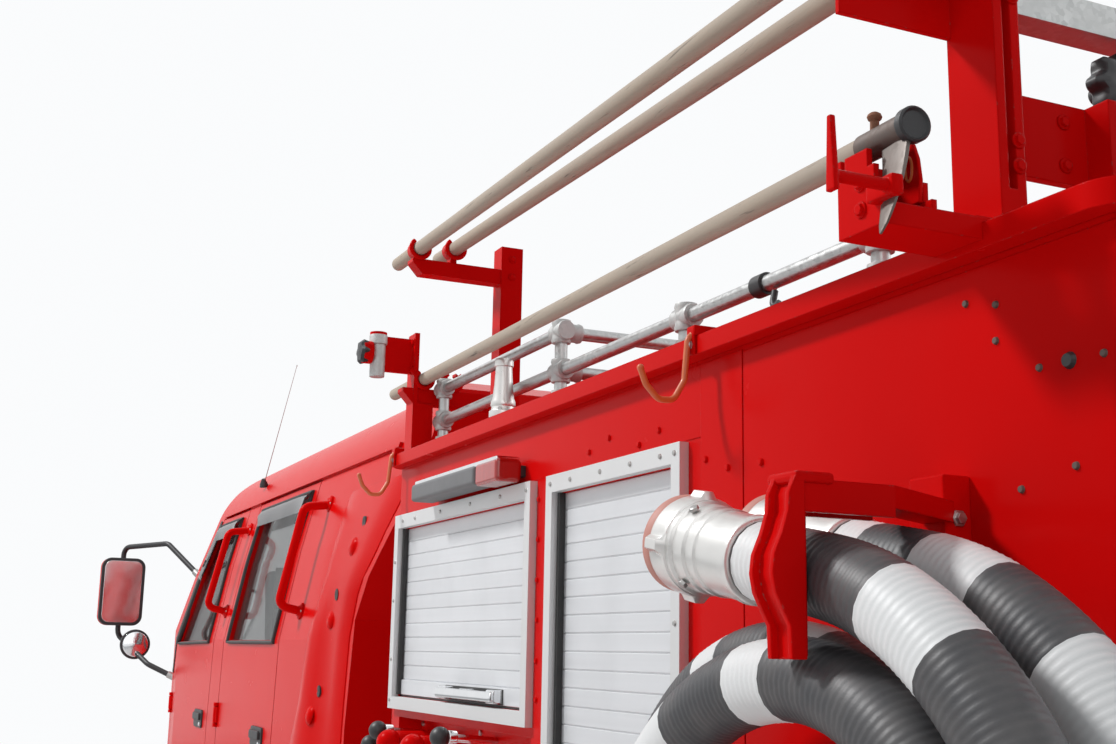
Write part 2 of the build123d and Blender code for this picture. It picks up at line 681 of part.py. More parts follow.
# Shutter frames, curtains and bottom bars
with BuildPart() as shutter_frames:
    for _, sign in sides:
        plane = Plane.XZ.offset(-sign * body_half_width)
        for row in shutter_rows.values():
            middle_x = (row["x_front"] + row["x_rear"]) / 2
            width = row["x_front"] - row["x_rear"]
            height = header_z - row["z_low"]
            with BuildSketch(plane):
                with Locations((middle_x, row["z_low"] + height / 2)):
                    Rectangle(width, height)
                with Locations((middle_x, row["z_low"] + height / 2 - 2)):
                    Rectangle(width - 2 * shutter_frame_width, height - 2 * 26, mode=Mode.SUBTRACT)
            extrude(amount=-sign * shutter_frame_depth)
    with BuildSketch(Plane.YZ.offset(body_rear_x)):
        height = header_z - rear_shutter["z_low"]
        with Locations((0, rear_shutter["z_low"] + height / 2)):
            Rectangle(2 * rear_shutter["half_width"], height)
            Rectangle(2 * (rear_shutter["half_width"] - shutter_frame_width), height - 2 * 26,
                      mode=Mode.SUBTRACT)
    extrude(amount=-shutter_frame_depth)
save(shutter_frames, "shutter_frames")


def curtain_solid(width, height):
    """Slatted curtain in its own plane: X across, Y up, Z outwards."""
    slats = int(height // slat_pitch)
    pitch = height / slats
    with BuildPart() as curtain:
        with BuildSketch(Plane.YZ.offset(-width / 2)):
            with BuildLine():
                points = [(0, 0)]
                for slat in range(slats):
                    low = slat * pitch
                    points += [(low + 3, 0), (low + 6, curtain_thickness), (low + pitch - 3, curtain_thickness),
                               (low + pitch, 0)]
                points += [(height, -3), (0, -3)]
                Polyline(*points, close=True)
            make_face()
        extrude(amount=width)
    return curtain.part


def bar_solid(width):
    """Bottom bar with its lift handle in its own plane: X across, Y up, Z outwards."""
    grip = min(220, width * 0.45)
    with BuildPart() as bar:
        with Locations((0, bar_height / 2, 4)):
            Box(width, bar_height, 16)
        for end in (-1, 1):
            with Locations((end * grip / 2, bar_height / 2, 12 + 12)):
                Box(18, 20, 26)
        with Locations((0, bar_height / 2, 12 + 25 + 5)):
            Box(grip + 18, 20, 12)
    return bar.part


curtain_places = []
for side, sign in sides:
    for place, row in shutter_rows.items():
        curtain_places.append((f"{place}_{side}", (row["x_front"] + row["x_rear"]) / 2,
                               sign * (body_half_width - curtain_setback), row["x_front"] - row["x_rear"],
                               row["z_low"], (0, sign, 0)))
curtain_places.append(("rear", body_rear_x + curtain_setback, 0, 2 * rear_shutter["half_width"],
                       rear_shutter["z_low"], (-1, 0, 0)))
for name, x, y, outer_width, z_low, outward in curtain_places:
    width = outer_width - 2 * shutter_frame_width - 2 * rest_gap
    sill = z_low + shutter_frame_width + rest_gap
    height = header_z - 28 - rest_gap - sill - bar_height
    face = Plane(origin=(x, y, sill), z_dir=outward, x_dir=Vector(0, 0, 1).cross(Vector(*outward)))
    with BuildPart() as shutter_bar:
        add(face.location * bar_solid(width))
    save(shutter_bar, f"shutter_bar_{name}")
    with BuildPart() as shutter_curtain:
        add((face.location * Pos(0, bar_height, 0)) * curtain_solid(width, height))
    save(shutter_curtain, f"shutter_curtain_{name}")
    print(f"shutter {name}: sill {sill:.1f}, curtain up to {sill + bar_height + height:.1f}")

# Pump panels in the bays below the fore shutters
with BuildPart() as pump_panels:
    for side, sign in sides:
        back = sign * (body_half_width - pump_bay["depth"])
        y_pair = sorted((back, back + sign * 12))
        add(box_between((pump_bay["x_rear"] + 1, y_pair[0], pump_bay["z_low"] + 1),
                        (pump_bay["x_front"] - 1, y_pair[1], pump_bay["z_high"] - 1)))
        start = back + sign * 12
        for x, z, radius, reach in ((-1120, 1010, 62, 95), (-900, 1030, 38, 80), (-1320, 1030, 38, 80)):
            with Locations(Location((x, start + sign * reach / 2, z), (90, 0, 0))):
                Cylinder(radius, reach)
        for x, z in ((-850, 1340), (-1000, 1340)):
            with Locations(Location((x, start + sign * 40, z), (90, 0, 0))):
                Cylinder(22, 80)
            with Locations((x, start + sign * 96, z)):
                Sphere(25)
        for x in (-960, -1120, -1280):
            with Locations(Location((x, start + sign * 10, 1230), (90, 0, 0))):
                Cylinder(52, 20)
save(pump_panels, "pump_panels")

# Grab handles on the cab's pillars and the two mirrors on their tube arms
handle_rows = (("x_top", "z_top", "x_low", "z_low"), (1425, 1930, 1440, 1640), (325, 1925, 335, 1620))
handle_reach = 60
with BuildPart() as cab_handles:
    for x_top, z_top, x_low, z_low in handle_rows[1:]:
        for _, sign in sides:
            add(rounded_bar([(x_top, sign * (cab_half_width - 112), z_top),
                             (x_top, sign * (cab_half_width - 74 + handle_reach), z_top - 12),
                             (x_low, sign * (cab_half_width - 17 + handle_reach), z_low + 14),
                             (x_low, sign * (cab_half_width - 22), z_low)], 12, 26))
    add(cab_outer, mode=Mode.SUBTRACT)
save(cab_handles, "cab_handles")

mirror_centre = (2690, cab_half_width + 188, 1740)
with BuildPart() as mirrors:
    for _, sign in sides:
        x, y, z = mirror_centre[0], sign * mirror_centre[1], mirror_centre[2]
        with BuildSketch(Plane.YZ.offset(x - 35)):
            with Locations((y, z)):
                RectangleRounded(180, 285, 40)
        extrude(amount=70)
        add(rounded_bar([(2455, sign * (cab_half_width - 42), 1380),
                         (2520, sign * (cab_half_width + 78), 1440), (2700, y, 1560), (2700, y, 1640)], 11, 45))
        add(rounded_bar([(2290, sign * (cab_half_width - 112), 1760),
                         (2480, sign * (cab_half_width + 38), 1940), (2700, y, 1930), (2700, y, 1860)], 11, 45))
        with Locations(Location((2600, sign * (cab_half_width + 126), 1520), (0, 90, 0))):
            Cylinder(62, 34)
    add(cab_outer, mode=Mode.SUBTRACT)
save(mirrors, "mirrors")

# Lamps: headlamps in the bumper, tail lamp clusters and the side marker bars
marker_bar = {"x_front": -962, "x_rear": -1412, "z_low": 1800, "height": 44, "reach": 60}
with BuildPart() as lamps:
    for _, sign in sides:
        with BuildSketch(Plane.YZ.offset(headlamp["x_back"])):
            with Locations((sign * headlamp["y"], headlamp["z"])):
                RectangleRounded(headlamp["width"], headlamp["height"], headlamp["corner"])
        extrude(amount=300)
        y_pair = sorted((sign * body_half_width, sign * (body_half_width + marker_bar["reach"])))
        add(box_between((marker_bar["x_rear"], y_pair[0], marker_bar["z_low"]),
                        (marker_bar["x_front"], y_pair[1], marker_bar["z_low"] + marker_bar["height"])))
        for z in (1010, 1120, 1230):
            with BuildSketch(Plane.YZ.offset(body_rear_x)):
                with Locations((sign * 800, z)):
                    RectangleRounded(170, 92, 20)
            extrude(amount=-46)
    with BuildSketch(Plane.XY.offset(300)):
        with BuildLine():
            Polyline((-3000, -1200), (-3000, 1200), (2240, 1200), (2240, 907), (2420, 907), (2600, 882),
                     (2742, 822), (2830, 702), (2874, 482), (front_x + 2, 0), (2874, -482), (2830, -702),
                     (2742, -822), (2600, -882), (2420, -907), (2240, -907), (2240, -1200), close=True)
        make_face()
    extrude(amount=2000, mode=Mode.INTERSECT)
save(lamps, "lamps")


# Deck rails: galvanised pipe on flanged bases along the roof lip
rail_y_deck = body_half_width - 37
lip_top = deck_z + lip_height
low_rail_z = lip_top + 60
high_rail_z = low_rail_z + 68
rail_front_x = -862
rail_step_x = -1458
rail_back_x = -2336
with BuildPart() as deck_rails:
    for _, sign in sides:
        y = sign * rail_y_deck
        add(rounded_bar([(rail_step_x, y, low_rail_z), (rail_back_x - 25, y, low_rail_z)], pipe_radius, 0))
        for x, top in ((rail_step_x, high_rail_z), (-1891, low_rail_z), (rail_back_x, low_rail_z),
                       (rail_front_x, high_rail_z)):
            with Locations((x, y, lip_top + 3)):
                Cylinder(24, 6)
            with Locations((x, y, (lip_top + top) / 2)):
                Cylinder(pipe_radius, top - lip_top)
            for z in {low_rail_z, top}:
                with Locations((x, y, z)):
                    Cylinder(15.5, 34)
                with Locations(Location((x, y, z), (0, 90, 0))):
                    Cylinder(15.5, 40)
        for z in (low_rail_z, high_rail_z):
            add(rounded_bar([(rail_step_x, y, z), (rail_front_x, y, z)], pipe_radius, 0))
    for z in (low_rail_z, high_rail_z):
        add(rounded_bar([(rail_step_x, -rail_y_deck, z), (rail_step_x, rail_y_deck, z)], pipe_radius, 0))
save(deck_rails, "deck_rails")

# Cone nozzle stowed upright on the roof edge
with BuildPart() as deck_nozzle:
    with BuildSketch(Plane.XZ):
        with BuildLine():
            Polyline((0, 0), (25, 0), (25, 12), (19, 18), (21, 40), (15, 95), (18, 97), (18, 108), (0, 108),
                     close=True)
        make_face()
    revolve(axis=Axis.Z)
with BuildPart() as placed_nozzle:
    add(Pos(-1290, body_half_width, lip_top) * deck_nozzle.part)
save(placed_nozzle, "deck_nozzle")

# Poles: each from its front end to its rear end
pole_rows = (("front end", "rear end"),
             ((-640, body_half_width + 10, 2374), (-2600, body_half_width + 100, 2250)),
             ((-700, body_half_width - 66, 2380), (-2600, body_half_width + 28, 2250)))
hook_front = (-560, body_half_width - 20, 2090)
hook_rear = (-2592, body_half_width + 118, 2002.5)
with BuildPart() as poles:
    for start, finish in pole_rows[1:]:
        add(rounded_bar([start, finish], pole_radius, 0))
save(poles, "poles")

# Pike pole: shaft, ferrule with its cap, stub spike and a curved blade hanging from the ferrule
ferrule_length = 58
ferrule_radius = hook_pole_radius + 1.5
blade = {"thickness": 5, "root": 34, "drop": 104}
with BuildPart() as fire_hook:
    x, y, z = hook_rear
    add(rounded_bar([hook_front, hook_rear], hook_pole_radius, 0))
    add(rounded_bar([(x + 14, y - 1, z + 0.6), (x + 14 - ferrule_length, y + 3, z - 2)], ferrule_radius, 0))
    with Locations((x + 2, y, z + ferrule_radius)):
        Cylinder(4, 26)
    with BuildSketch(Plane.XZ.offset(-(y + 1 + blade["thickness"] / 2))):
        with BuildLine():
            blade_rear, blade_front = x - 40, x - 40 + blade["root"]
            tip = (x - 8, z - blade["drop"])
            Polyline((blade_rear, z - 8), (blade_front, z - 8), (blade_front + 2, z - 22))
            ThreePointArc((blade_front + 2, z - 22), (x - 2, z - 62), tip)
            ThreePointArc(tip, (blade_rear + 14, z - 62), (blade_rear, z - 8))
        make_face()
    extrude(amount=blade["thickness"])
save(fire_hook, "fire_hook")


def open_ring(centre, axis_dir, radius):
    """Spring ring round a pole of this radius, open at the top."""
    with BuildPart() as ring:
        with BuildSketch(Plane(origin=centre, z_dir=axis_dir, x_dir=(-axis_dir[1], axis_dir[0], 0))):
            Circle(radius + ring_wall)
            Circle(radius + rest_gap, mode=Mode.SUBTRACT)
            with Locations((0, radius + ring_wall)):
                Rectangle(radius * 1.1, radius, mode=Mode.SUBTRACT)
        extrude(amount=ring_width / 2, both=True)
    return ring.part


def on_line(row, x):
    """Point where a pole crosses a plane of constant X."""
    start, finish = row
    share = (x - start[0]) / (finish[0] - start[0])
    return tuple(start[i] + share * (finish[i] - start[i]) for i in range(3))


def body_block(sign, low, high):
    """Plain block whose Y values count outwards from one body side."""
    y_pair = sorted(sign * (body_half_width + y) for y in (low[1], high[1]))
    return box_between((low[0], y_pair[0], low[2]), (high[0], y_pair[1], high[2]))


# Front pole carriers: two posts and two arms a side, rings on the loaded side
ring_wall = 5
ring_width = 22
stowed_poles = (("row", "radius"), (pole_rows[1], pole_radius), (pole_rows[2], pole_radius),
                ((hook_front, hook_rear), hook_pole_radius))
front_arms = {"lower": {"z_low": 2026, "z_high": 2058, "reach": 44},
              "upper": {"z_low": 2308, "z_high": 2340, "reach": 34}}
front_posts = {"tall_y": -193, "tall_top": 2392, "short_top": 2176, "half": 23}
spare_hook_y = -65
spare_hook_radius = 18
spare_hook_z = front_arms["lower"]["z_high"] + spare_hook_radius + ring_wall - 2
lance_clamp = {"y": 96, "z_low": 2078, "z_high": 2172, "radius": 15, "collar": 22}
with BuildPart() as carriers_front:
    rack_x = front_rack_x - 22
    post_x = (rack_x - front_posts["half"], rack_x + front_posts["half"])
    for _, sign in sides:
        add(body_block(sign, (post_x[0], -22, lip_top), (post_x[1], 22, front_arms["lower"]["z_low"])))
        add(body_block(sign, (post_x[0], front_posts["tall_y"] - 25, deck_z),
                       (post_x[1], front_posts["tall_y"] + 25, front_posts["tall_top"])))
        for arm in front_arms.values():
            with BuildSketch(Plane.YZ.offset(rack_x - 20)):
                Polygon(*[(sign * (body_half_width + y), z) for y, z in (
                    (front_posts["tall_y"], arm["z_low"]), (arm["reach"] - 22, arm["z_low"]),
                    (arm["reach"], arm["z_high"] - 8), (arm["reach"], arm["z_high"]),
                    (front_posts["tall_y"], arm["z_high"]))], align=None)
            extrude(amount=36)
        add(body_block(sign, (post_x[0], 12, front_arms["lower"]["z_low"]),
                       (post_x[1], 22, front_posts["short_top"])))
        add(body_block(sign, (rack_x - 4, 20, 2090), (rack_x + 4, lance_clamp["y"], 2165)))
        clamp_y = sign * (body_half_width + lance_clamp["y"])
        with Locations((rack_x, clamp_y, (lance_clamp["z_low"] + lance_clamp["z_high"]) / 2)):
            Cylinder(lance_clamp["radius"], lance_clamp["z_high"] - lance_clamp["z_low"])
        with Locations((rack_x, clamp_y, lance_clamp["z_high"] - lance_clamp["collar"] / 2)):
            Cylinder(lance_clamp["radius"] + 3, lance_clamp["collar"])
        with Locations(Location((rack_x, clamp_y + sign * 24, 2128), (90, 0, 0))):
            Cylinder(24, 20)
        add(open_ring((rack_x, sign * (body_half_width + spare_hook_y), spare_hook_z), (1, 0, 0),
                      spare_hook_radius))
    for row, radius in stowed_poles[1:]:
        along = tuple(row[1][i] - row[0][i] for i in range(3))
        x, y, z = on_line(row, rack_x)
        add(open_ring((x, y, z), along, radius))
        add(box_between((x - 12, y - 7, z - radius - 19), (x + 12, y + 7, z - radius - 1.2)))
save(carriers_front, "carriers_front")

# Rear pole carriers: channel posts, fork trays outboard and a cross tube between the sides
plate = 6
rear_post_depth = 69
near = rear_rack_x - rear_post_depth
low_tray = {"z": 1911, "reach": 140, "inner": 84, "lip": 22}
high_tray = {"z": on_line(pole_rows[1], near)[2] - pole_radius - plate - rest_gap - 0.2, "reach": 138}
hook_seat_z = on_line((hook_front, hook_rear), near)[2] - hook_pole_radius - rest_gap - 0.1
with BuildPart() as carriers_rear:
    for _, sign in sides:
        add(body_block(sign, (near, -32, lip_top), (rear_rack_x, 0, 2300)))
        add(body_block(sign, (near - 1, -21, lip_top + 40), (near + 14, -11, 2301)), mode=Mode.SUBTRACT)
        add(body_block(sign, (near, lip_overhang, low_tray["z"]),
                       (rear_rack_x, low_tray["reach"], low_tray["z"] + plate)))
        add(body_block(sign, (near, lip_overhang, low_tray["z"]), (near + plate, low_tray["reach"],
                                                                  low_tray["z"] + low_tray["lip"])))
        add(body_block(sign, (near, -2, lip_top), (rear_rack_x, lip_overhang + plate, lip_top + plate)))
        add(body_block(sign, (near, lip_overhang, low_tray["z"]),
                       (rear_rack_x, lip_overhang + plate, lip_top + plate)))
        for y, steps in ((low_tray["reach"], (1990, 1972, 1950)), (low_tray["inner"], (1978, 1962, 1942))):
            outline = [(near, low_tray["z"]), (near, steps[2]), (near + 12, steps[2]), (near + 12, steps[1]),
                       (near + 22, steps[1]), (near + 22, steps[0]), (rear_rack_x - 12, steps[0]),
                       (rear_rack_x - 12, steps[1]), (rear_rack_x, steps[1]), (rear_rack_x, low_tray["z"])]
            y_pair = sorted((sign * (body_half_width + y - plate), sign * (body_half_width + y)))
            add(prism_xz(outline, *y_pair))
        add(body_block(sign, (rear_rack_x - plate, low_tray["inner"], low_tray["z"]),
                       (rear_rack_x, low_tray["reach"], hook_seat_z)))
        add(body_block(sign, (near, -4, high_tray["z"]),
                       (rear_rack_x, high_tray["reach"], high_tray["z"] + plate)))
        add(body_block(sign, (rear_rack_x - plate, -4, high_tray["z"] - 84),
                       (rear_rack_x, high_tray["reach"], high_tray["z"])))
        add(body_block(sign, (near, -4, high_tray["z"] - 18),
                       (near + plate, high_tray["reach"], high_tray["z"])))
        add(body_block(sign, (near, high_tray["reach"] - plate, high_tray["z"]),
                       (rear_rack_x, high_tray["reach"], high_tray["z"] + 58)))
        add(body_block(sign, (rear_rack_x - 12, -183, 2010), (rear_rack_x, -28, 2098)))
        add(body_block(sign, (rear_rack_x - 45, -183, deck_z), (rear_rack_x, -171, 2098)))
    add(box_between((rear_rack_x - 40, -body_half_width + 30, 2172),
                    (rear_rack_x - 4, body_half_width - 30, 2208)))
save(carriers_rear, "carriers_rear")

# Two suction hoses coiled one and a half turns in the rack on the left side
hose_tilt = 10
hose_start_x = -2374
hose_bend_x = -2560
hose_bottom_z = 760
hose_first_bend = 350
hose_tail = 90
hose_rows = (("y", "start_z", "rear lower", "front lower", "front upper", "inner upper", "inner lower"),
             (body_half_width + 200, 1621.5, 318, 381, 360, 258, 258),
             (body_half_width + 96, 1629, 429, 420, 340, 300, 290))


def hose_path(start_z, radii):
    """Tilted run from the top coupling, bend to plumb, then quarter arcs down, forward, up and in."""
    tilt = math.radians(hose_tilt)
    bend_z = start_z - (hose_start_x - hose_bend_x) * math.tan(tilt)
    rear_x_of_coil = hose_bend_x - hose_first_bend * (1 - math.sin(tilt))
    plumb_z = bend_z - hose_first_bend * math.cos(tilt)
    rear_low, front_low, front_up, inner_up, inner_low = radii
    with BuildLine(Plane.XZ) as path:
        Line((hose_start_x, start_z), (hose_bend_x, bend_z))
        RadiusArc((hose_bend_x, bend_z), (rear_x_of_coil, plumb_z), -hose_first_bend)
        x, z = rear_x_of_coil, hose_bottom_z + rear_low
        Line((rear_x_of_coil, plumb_z), (x, z))
        for radius, go_x, go_z in ((rear_low, 1, -1), (front_low, 1, 1), (front_up, -1, 1),
                                   (inner_up, -1, -1), (inner_low, 1, -1)):
            RadiusArc((x, z), (x + go_x * radius, z + go_z * radius), -radius)
            x, z = x + go_x * radius, z + go_z * radius
        Line((x, z), (x + hose_tail, z))
    return path.wires()[0], (x + hose_tail, z)


def coiled_hose(start_z, radii):
    """One hose in the plane y = 0 with a coupling on each end."""
    route, end = hose_path(start_z, radii)
    print(f"hose: length {route.length + 160:.0f} mm, tightest bend {min(radii)} mm")
    with BuildPart() as hose:
        with BuildSketch(Plane(origin=route @ 0, z_dir=route % 0)):
            Circle(hose_radius)
        sweep(path=route)
        for x, z, tilt in ((hose_start_x, start_z, hose_tilt), (*end, 0)):
            with Locations(Location((x, 0, z), (0, 90 - tilt, 0))):
                with Locations(Location((0, 0, 8))):
                    Cylinder(coupling_radius - 6, 70)
                with Locations(Location((0, 0, 36))):
                    Cylinder(coupling_radius, 26)
                with Locations(Location((0, 0, 46))):
                    Cylinder(34, 30, mode=Mode.SUBTRACT)
                with Locations(Location((-coupling_radius, 0, 36)), Location((coupling_radius, 0, 36))):
                    Box(14, 22, 16)
    return hose.part


with BuildPart() as suction_hoses:
    for y, start_z, *radii in hose_rows[1:]:
        add(Pos(0, y, 0) * coiled_hose(start_z, radii))
save(suction_hoses, "suction_hoses")

# Hose rack: a channel strap hangs outside the hoses from a folded arm, with saddles below the coils
rack_y = hose_rows[1][0] + hose_radius + 0.5
rack_plate = 8
strap = {"x_rear": -2585, "x_front": -2547, "z_low": 1521, "z_high": 1668, "web": 4, "flange": 5}
strap_flange = (("outward", "z"), (0, 1521), (5, 1521), (5, 1552), (11.5, 1574), (11.5, 1606), (5, 1628),
                (5, 1668), (0, 1668))
arm_inner_y = body_half_width + 145
arm_foot = {"x_rear": -2506, "x_front": -2468, "z_low": 1633, "z_high": 1680}
inner_saddle = {"x_rear": -2362, "x_front": -2318}
floor_saddles = (-2561, -2450)
saddle_width = 60
saddle_z = hose_bottom_z - hose_radius - rest_gap
inner_apex_sag = (inner_saddle["x_front"] - inner_saddle["x_rear"]) ** 2 / 8 / hose_rows[2][5]
inner_apex_z = hose_bottom_z + hose_rows[2][3] + hose_rows[2][4] - hose_radius - rest_gap - inner_apex_sag
with BuildPart() as hose_rack:
    add(box_between((strap["x_rear"], rack_y, strap["z_low"]),
                    (strap["x_front"], rack_y + strap["web"], strap["z_high"])))
    for x in (strap["x_rear"], strap["x_front"] - strap["flange"]):
        with BuildSketch(Plane.YZ.offset(x)):
            Polygon(*[(rack_y + out, z) for out, z in strap_flange[1:]], align=None)
        extrude(amount=strap["flange"])
        add(box_between((x, arm_inner_y, strap["z_high"] - 28),
                        (x + strap["flange"], rack_y + strap["web"], strap["z_high"])))
    add(box_between((strap["x_rear"], arm_inner_y, strap["z_high"] - strap["flange"]),
                    (strap["x_front"], rack_y + strap["web"], strap["z_high"])))
    with BuildSketch(Plane.XY.offset(strap["z_high"] - 20)):
        Polygon((strap["x_rear"], arm_inner_y + 12), (strap["x_front"], arm_inner_y + 12),
                (strap["x_front"], arm_inner_y), (arm_foot["x_front"], body_half_width + rack_plate),
                (arm_foot["x_rear"], body_half_width + rack_plate), (strap["x_rear"], arm_inner_y), align=None)
    extrude(amount=20)
    add(box_between((arm_foot["x_rear"], body_half_width, arm_foot["z_low"]),
                    (arm_foot["x_front"], body_half_width + rack_plate, arm_foot["z_high"])))
    add(box_between((inner_saddle["x_rear"], body_half_width, inner_apex_z - rack_plate),
                    (inner_saddle["x_front"], rack_y - 2 * hose_radius - 24, inner_apex_z)))
    with BuildSketch(Plane.YZ.offset(inner_saddle["x_rear"])):
        Polygon((body_half_width, inner_apex_z), (rack_y - 2 * hose_radius - 24, inner_apex_z),
                (body_half_width + rack_plate, inner_apex_z - 50), (body_half_width, inner_apex_z - 50),
                align=None)
    extrude(amount=rack_plate)
    for x in floor_saddles:
        add(box_between((x, body_half_width, saddle_z - rack_plate),
                        (x + saddle_width, rack_y + rack_plate, saddle_z)))
        add(box_between((x, body_half_width, saddle_z - 40), (x + saddle_width, body_half_width + rack_plate,
                                                              saddle_z + 60)))
        add(box_between((x, rack_y, saddle_z - rack_plate), (x + saddle_width, rack_y + rack_plate, 800)))
save(hose_rack, "hose_rack")

# Round hooks clamped on the roof lip
with BuildPart() as lip_hooks:
    for x in (-2020, -735):
        y = body_half_width
        add(rounded_bar([(x, y, lip_top + 6), (x, y + 116, lip_top + 6), (x, y + 116, lip_top - 74),
                         (x, y + 146, lip_top - 86), (x, y + 162, lip_top - 60)], 4, 12))
        add(box_between((x - 12, y - 12, lip_top), (x + 12, y + 28, lip_top + 12)))
save(lip_hooks, "lip_hooks")

# Rear step: chequered plate on two brackets
with BuildPart() as rear_step:
    add(box_between((rear_x, -900, 470), (body_rear_x - 2, 900, 500)))
    fillet(rear_step.edges().filter_by(Axis.Z).group_by(Axis.X)[0], 40)
    for _, sign in sides:
        add(box_between((rear_x + 60, sign * rail_y - 31, 500), (frame_rear_x, sign * rail_y + 31, 530)))
        add(box_between((frame_rear_x - 12, sign * rail_y - 31, 500),
                        (frame_rear_x, sign * rail_y + 31, rail_top_z)))
save(rear_step, "rear_step")
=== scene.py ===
"""Looks of a crew-cab light fire pumper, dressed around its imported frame.

Every sub-assembly is a class that builds its own meshes in metres, in the frame's axes
(+X forward, +Y left, +Z up), and hangs them on the body that carries them.
"""

import logging
import math
from dataclasses import dataclass, field
from enum import Enum
from typing import Callable, Iterable, Sequence

import bmesh
import bpy
from mathutils import Matrix, Vector
from mathutils.bvhtree import BVHTree
from mathutils.noise import noise as value_noise


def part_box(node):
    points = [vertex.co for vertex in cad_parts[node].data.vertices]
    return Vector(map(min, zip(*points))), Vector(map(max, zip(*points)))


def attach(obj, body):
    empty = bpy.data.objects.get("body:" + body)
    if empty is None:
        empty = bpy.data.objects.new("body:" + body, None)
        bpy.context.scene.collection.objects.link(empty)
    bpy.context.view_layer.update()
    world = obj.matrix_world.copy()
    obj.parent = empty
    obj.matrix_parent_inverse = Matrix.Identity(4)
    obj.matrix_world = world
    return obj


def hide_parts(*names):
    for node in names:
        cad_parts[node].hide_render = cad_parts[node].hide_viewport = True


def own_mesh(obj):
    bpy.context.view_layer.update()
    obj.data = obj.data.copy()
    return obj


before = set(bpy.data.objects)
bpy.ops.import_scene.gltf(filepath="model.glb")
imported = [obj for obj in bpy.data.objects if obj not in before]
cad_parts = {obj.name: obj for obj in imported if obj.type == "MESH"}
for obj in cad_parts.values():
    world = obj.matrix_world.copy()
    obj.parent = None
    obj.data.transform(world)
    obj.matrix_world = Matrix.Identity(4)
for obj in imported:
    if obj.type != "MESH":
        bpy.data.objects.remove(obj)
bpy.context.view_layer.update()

log = logging.getLogger("pumper")
Point = tuple[float, float, float] | Vector
Outline = Sequence[tuple[float, float]]

FORWARD, BACK, LEFTWARD, UP = (1, 0, 0), (-1, 0, 0), (0, 1, 0), (0, 0, 1)
WALL = 0.940  # half width over the equipment body's flanks
LIP_TOP = 1.928  # top of the roof gutter's lip
FRONT_AXLE, REAR_AXLE = 1.760, -1.200  # their X
SMOOTH = 38  # degrees above which an edge stays sharp
ARC_STEPS = 6  # short runs in each rounded corner of a bar
DUST = (0.40, 0.36, 0.33)


class Side(Enum):
    """The two sides of the vehicle, with the sign of Y on each."""

    LEFT = 1
    RIGHT = -1

    @property
    def word(self) -> str:
        """The side's name as the frame's nodes and bodies spell it."""
        return self.name.lower()

    @property
    def out(self) -> Point:
        """The direction away from the middle of the vehicle."""
        return (0, self.value, 0)

    def at(self, x: float, y: float, z: float) -> Point:
        """A place given for the left side, on this side."""
        return (x, y * self.value, z)


class Along(Enum):
    """The axis a flat outline is pulled along, with the two axes it is drawn in."""

    X = (1, 2, 0)
    Y = (0, 2, 1)
    Z = (0, 1, 2)


class Pattern(Enum):
    """What breaks up a finish at close range."""

    PAINT = "paint"
    ZINC = "zinc"
    BRUSHED = "brushed"
    WOOD = "wood"
    RUBBER = "rubber"
    PLASTIC = "plastic"
    FABRIC = "fabric"
    LENS = "lens"


class Graph:
    """Adds and links the nodes of a material, a world or a Geometry Nodes tree."""

    def __init__(self, tree: bpy.types.NodeTree) -> None:
        """Start on a node tree."""
        self.tree = tree

    def feed(self, socket: bpy.types.NodeSocket, value) -> None:
        """Link an input to a socket, or set it to a plain value."""
        if isinstance(value, bpy.types.NodeSocket):
            self.tree.links.new(value, socket)
        else:
            socket.default_value = value

    def node(self, kind: str, *values, settings: dict | None = None, **inputs) -> bpy.types.Node:
        """Add a node with its settings and inputs.

        Args:
            kind: the node's type name.
            values: values or sockets for its first inputs, in order.
            settings: its properties.
            inputs: values or sockets by input name, with _ for a space.

        Returns:
            The node.
        """
        made = self.tree.nodes.new(kind)
        for key, value in (settings or {}).items():
            setattr(made, key, value)
        for socket, value in zip(made.inputs, values):
            self.feed(socket, value)
        for key, value in inputs.items():
            self.feed(made.inputs[key.replace("_", " ")], value)
        return made

    def math(self, operation: str, *values) -> bpy.types.NodeSocket:
        """The result of a Math node on sockets or numbers."""
        return self.node("ShaderNodeMath", *values, settings={"operation": operation}).outputs[0]


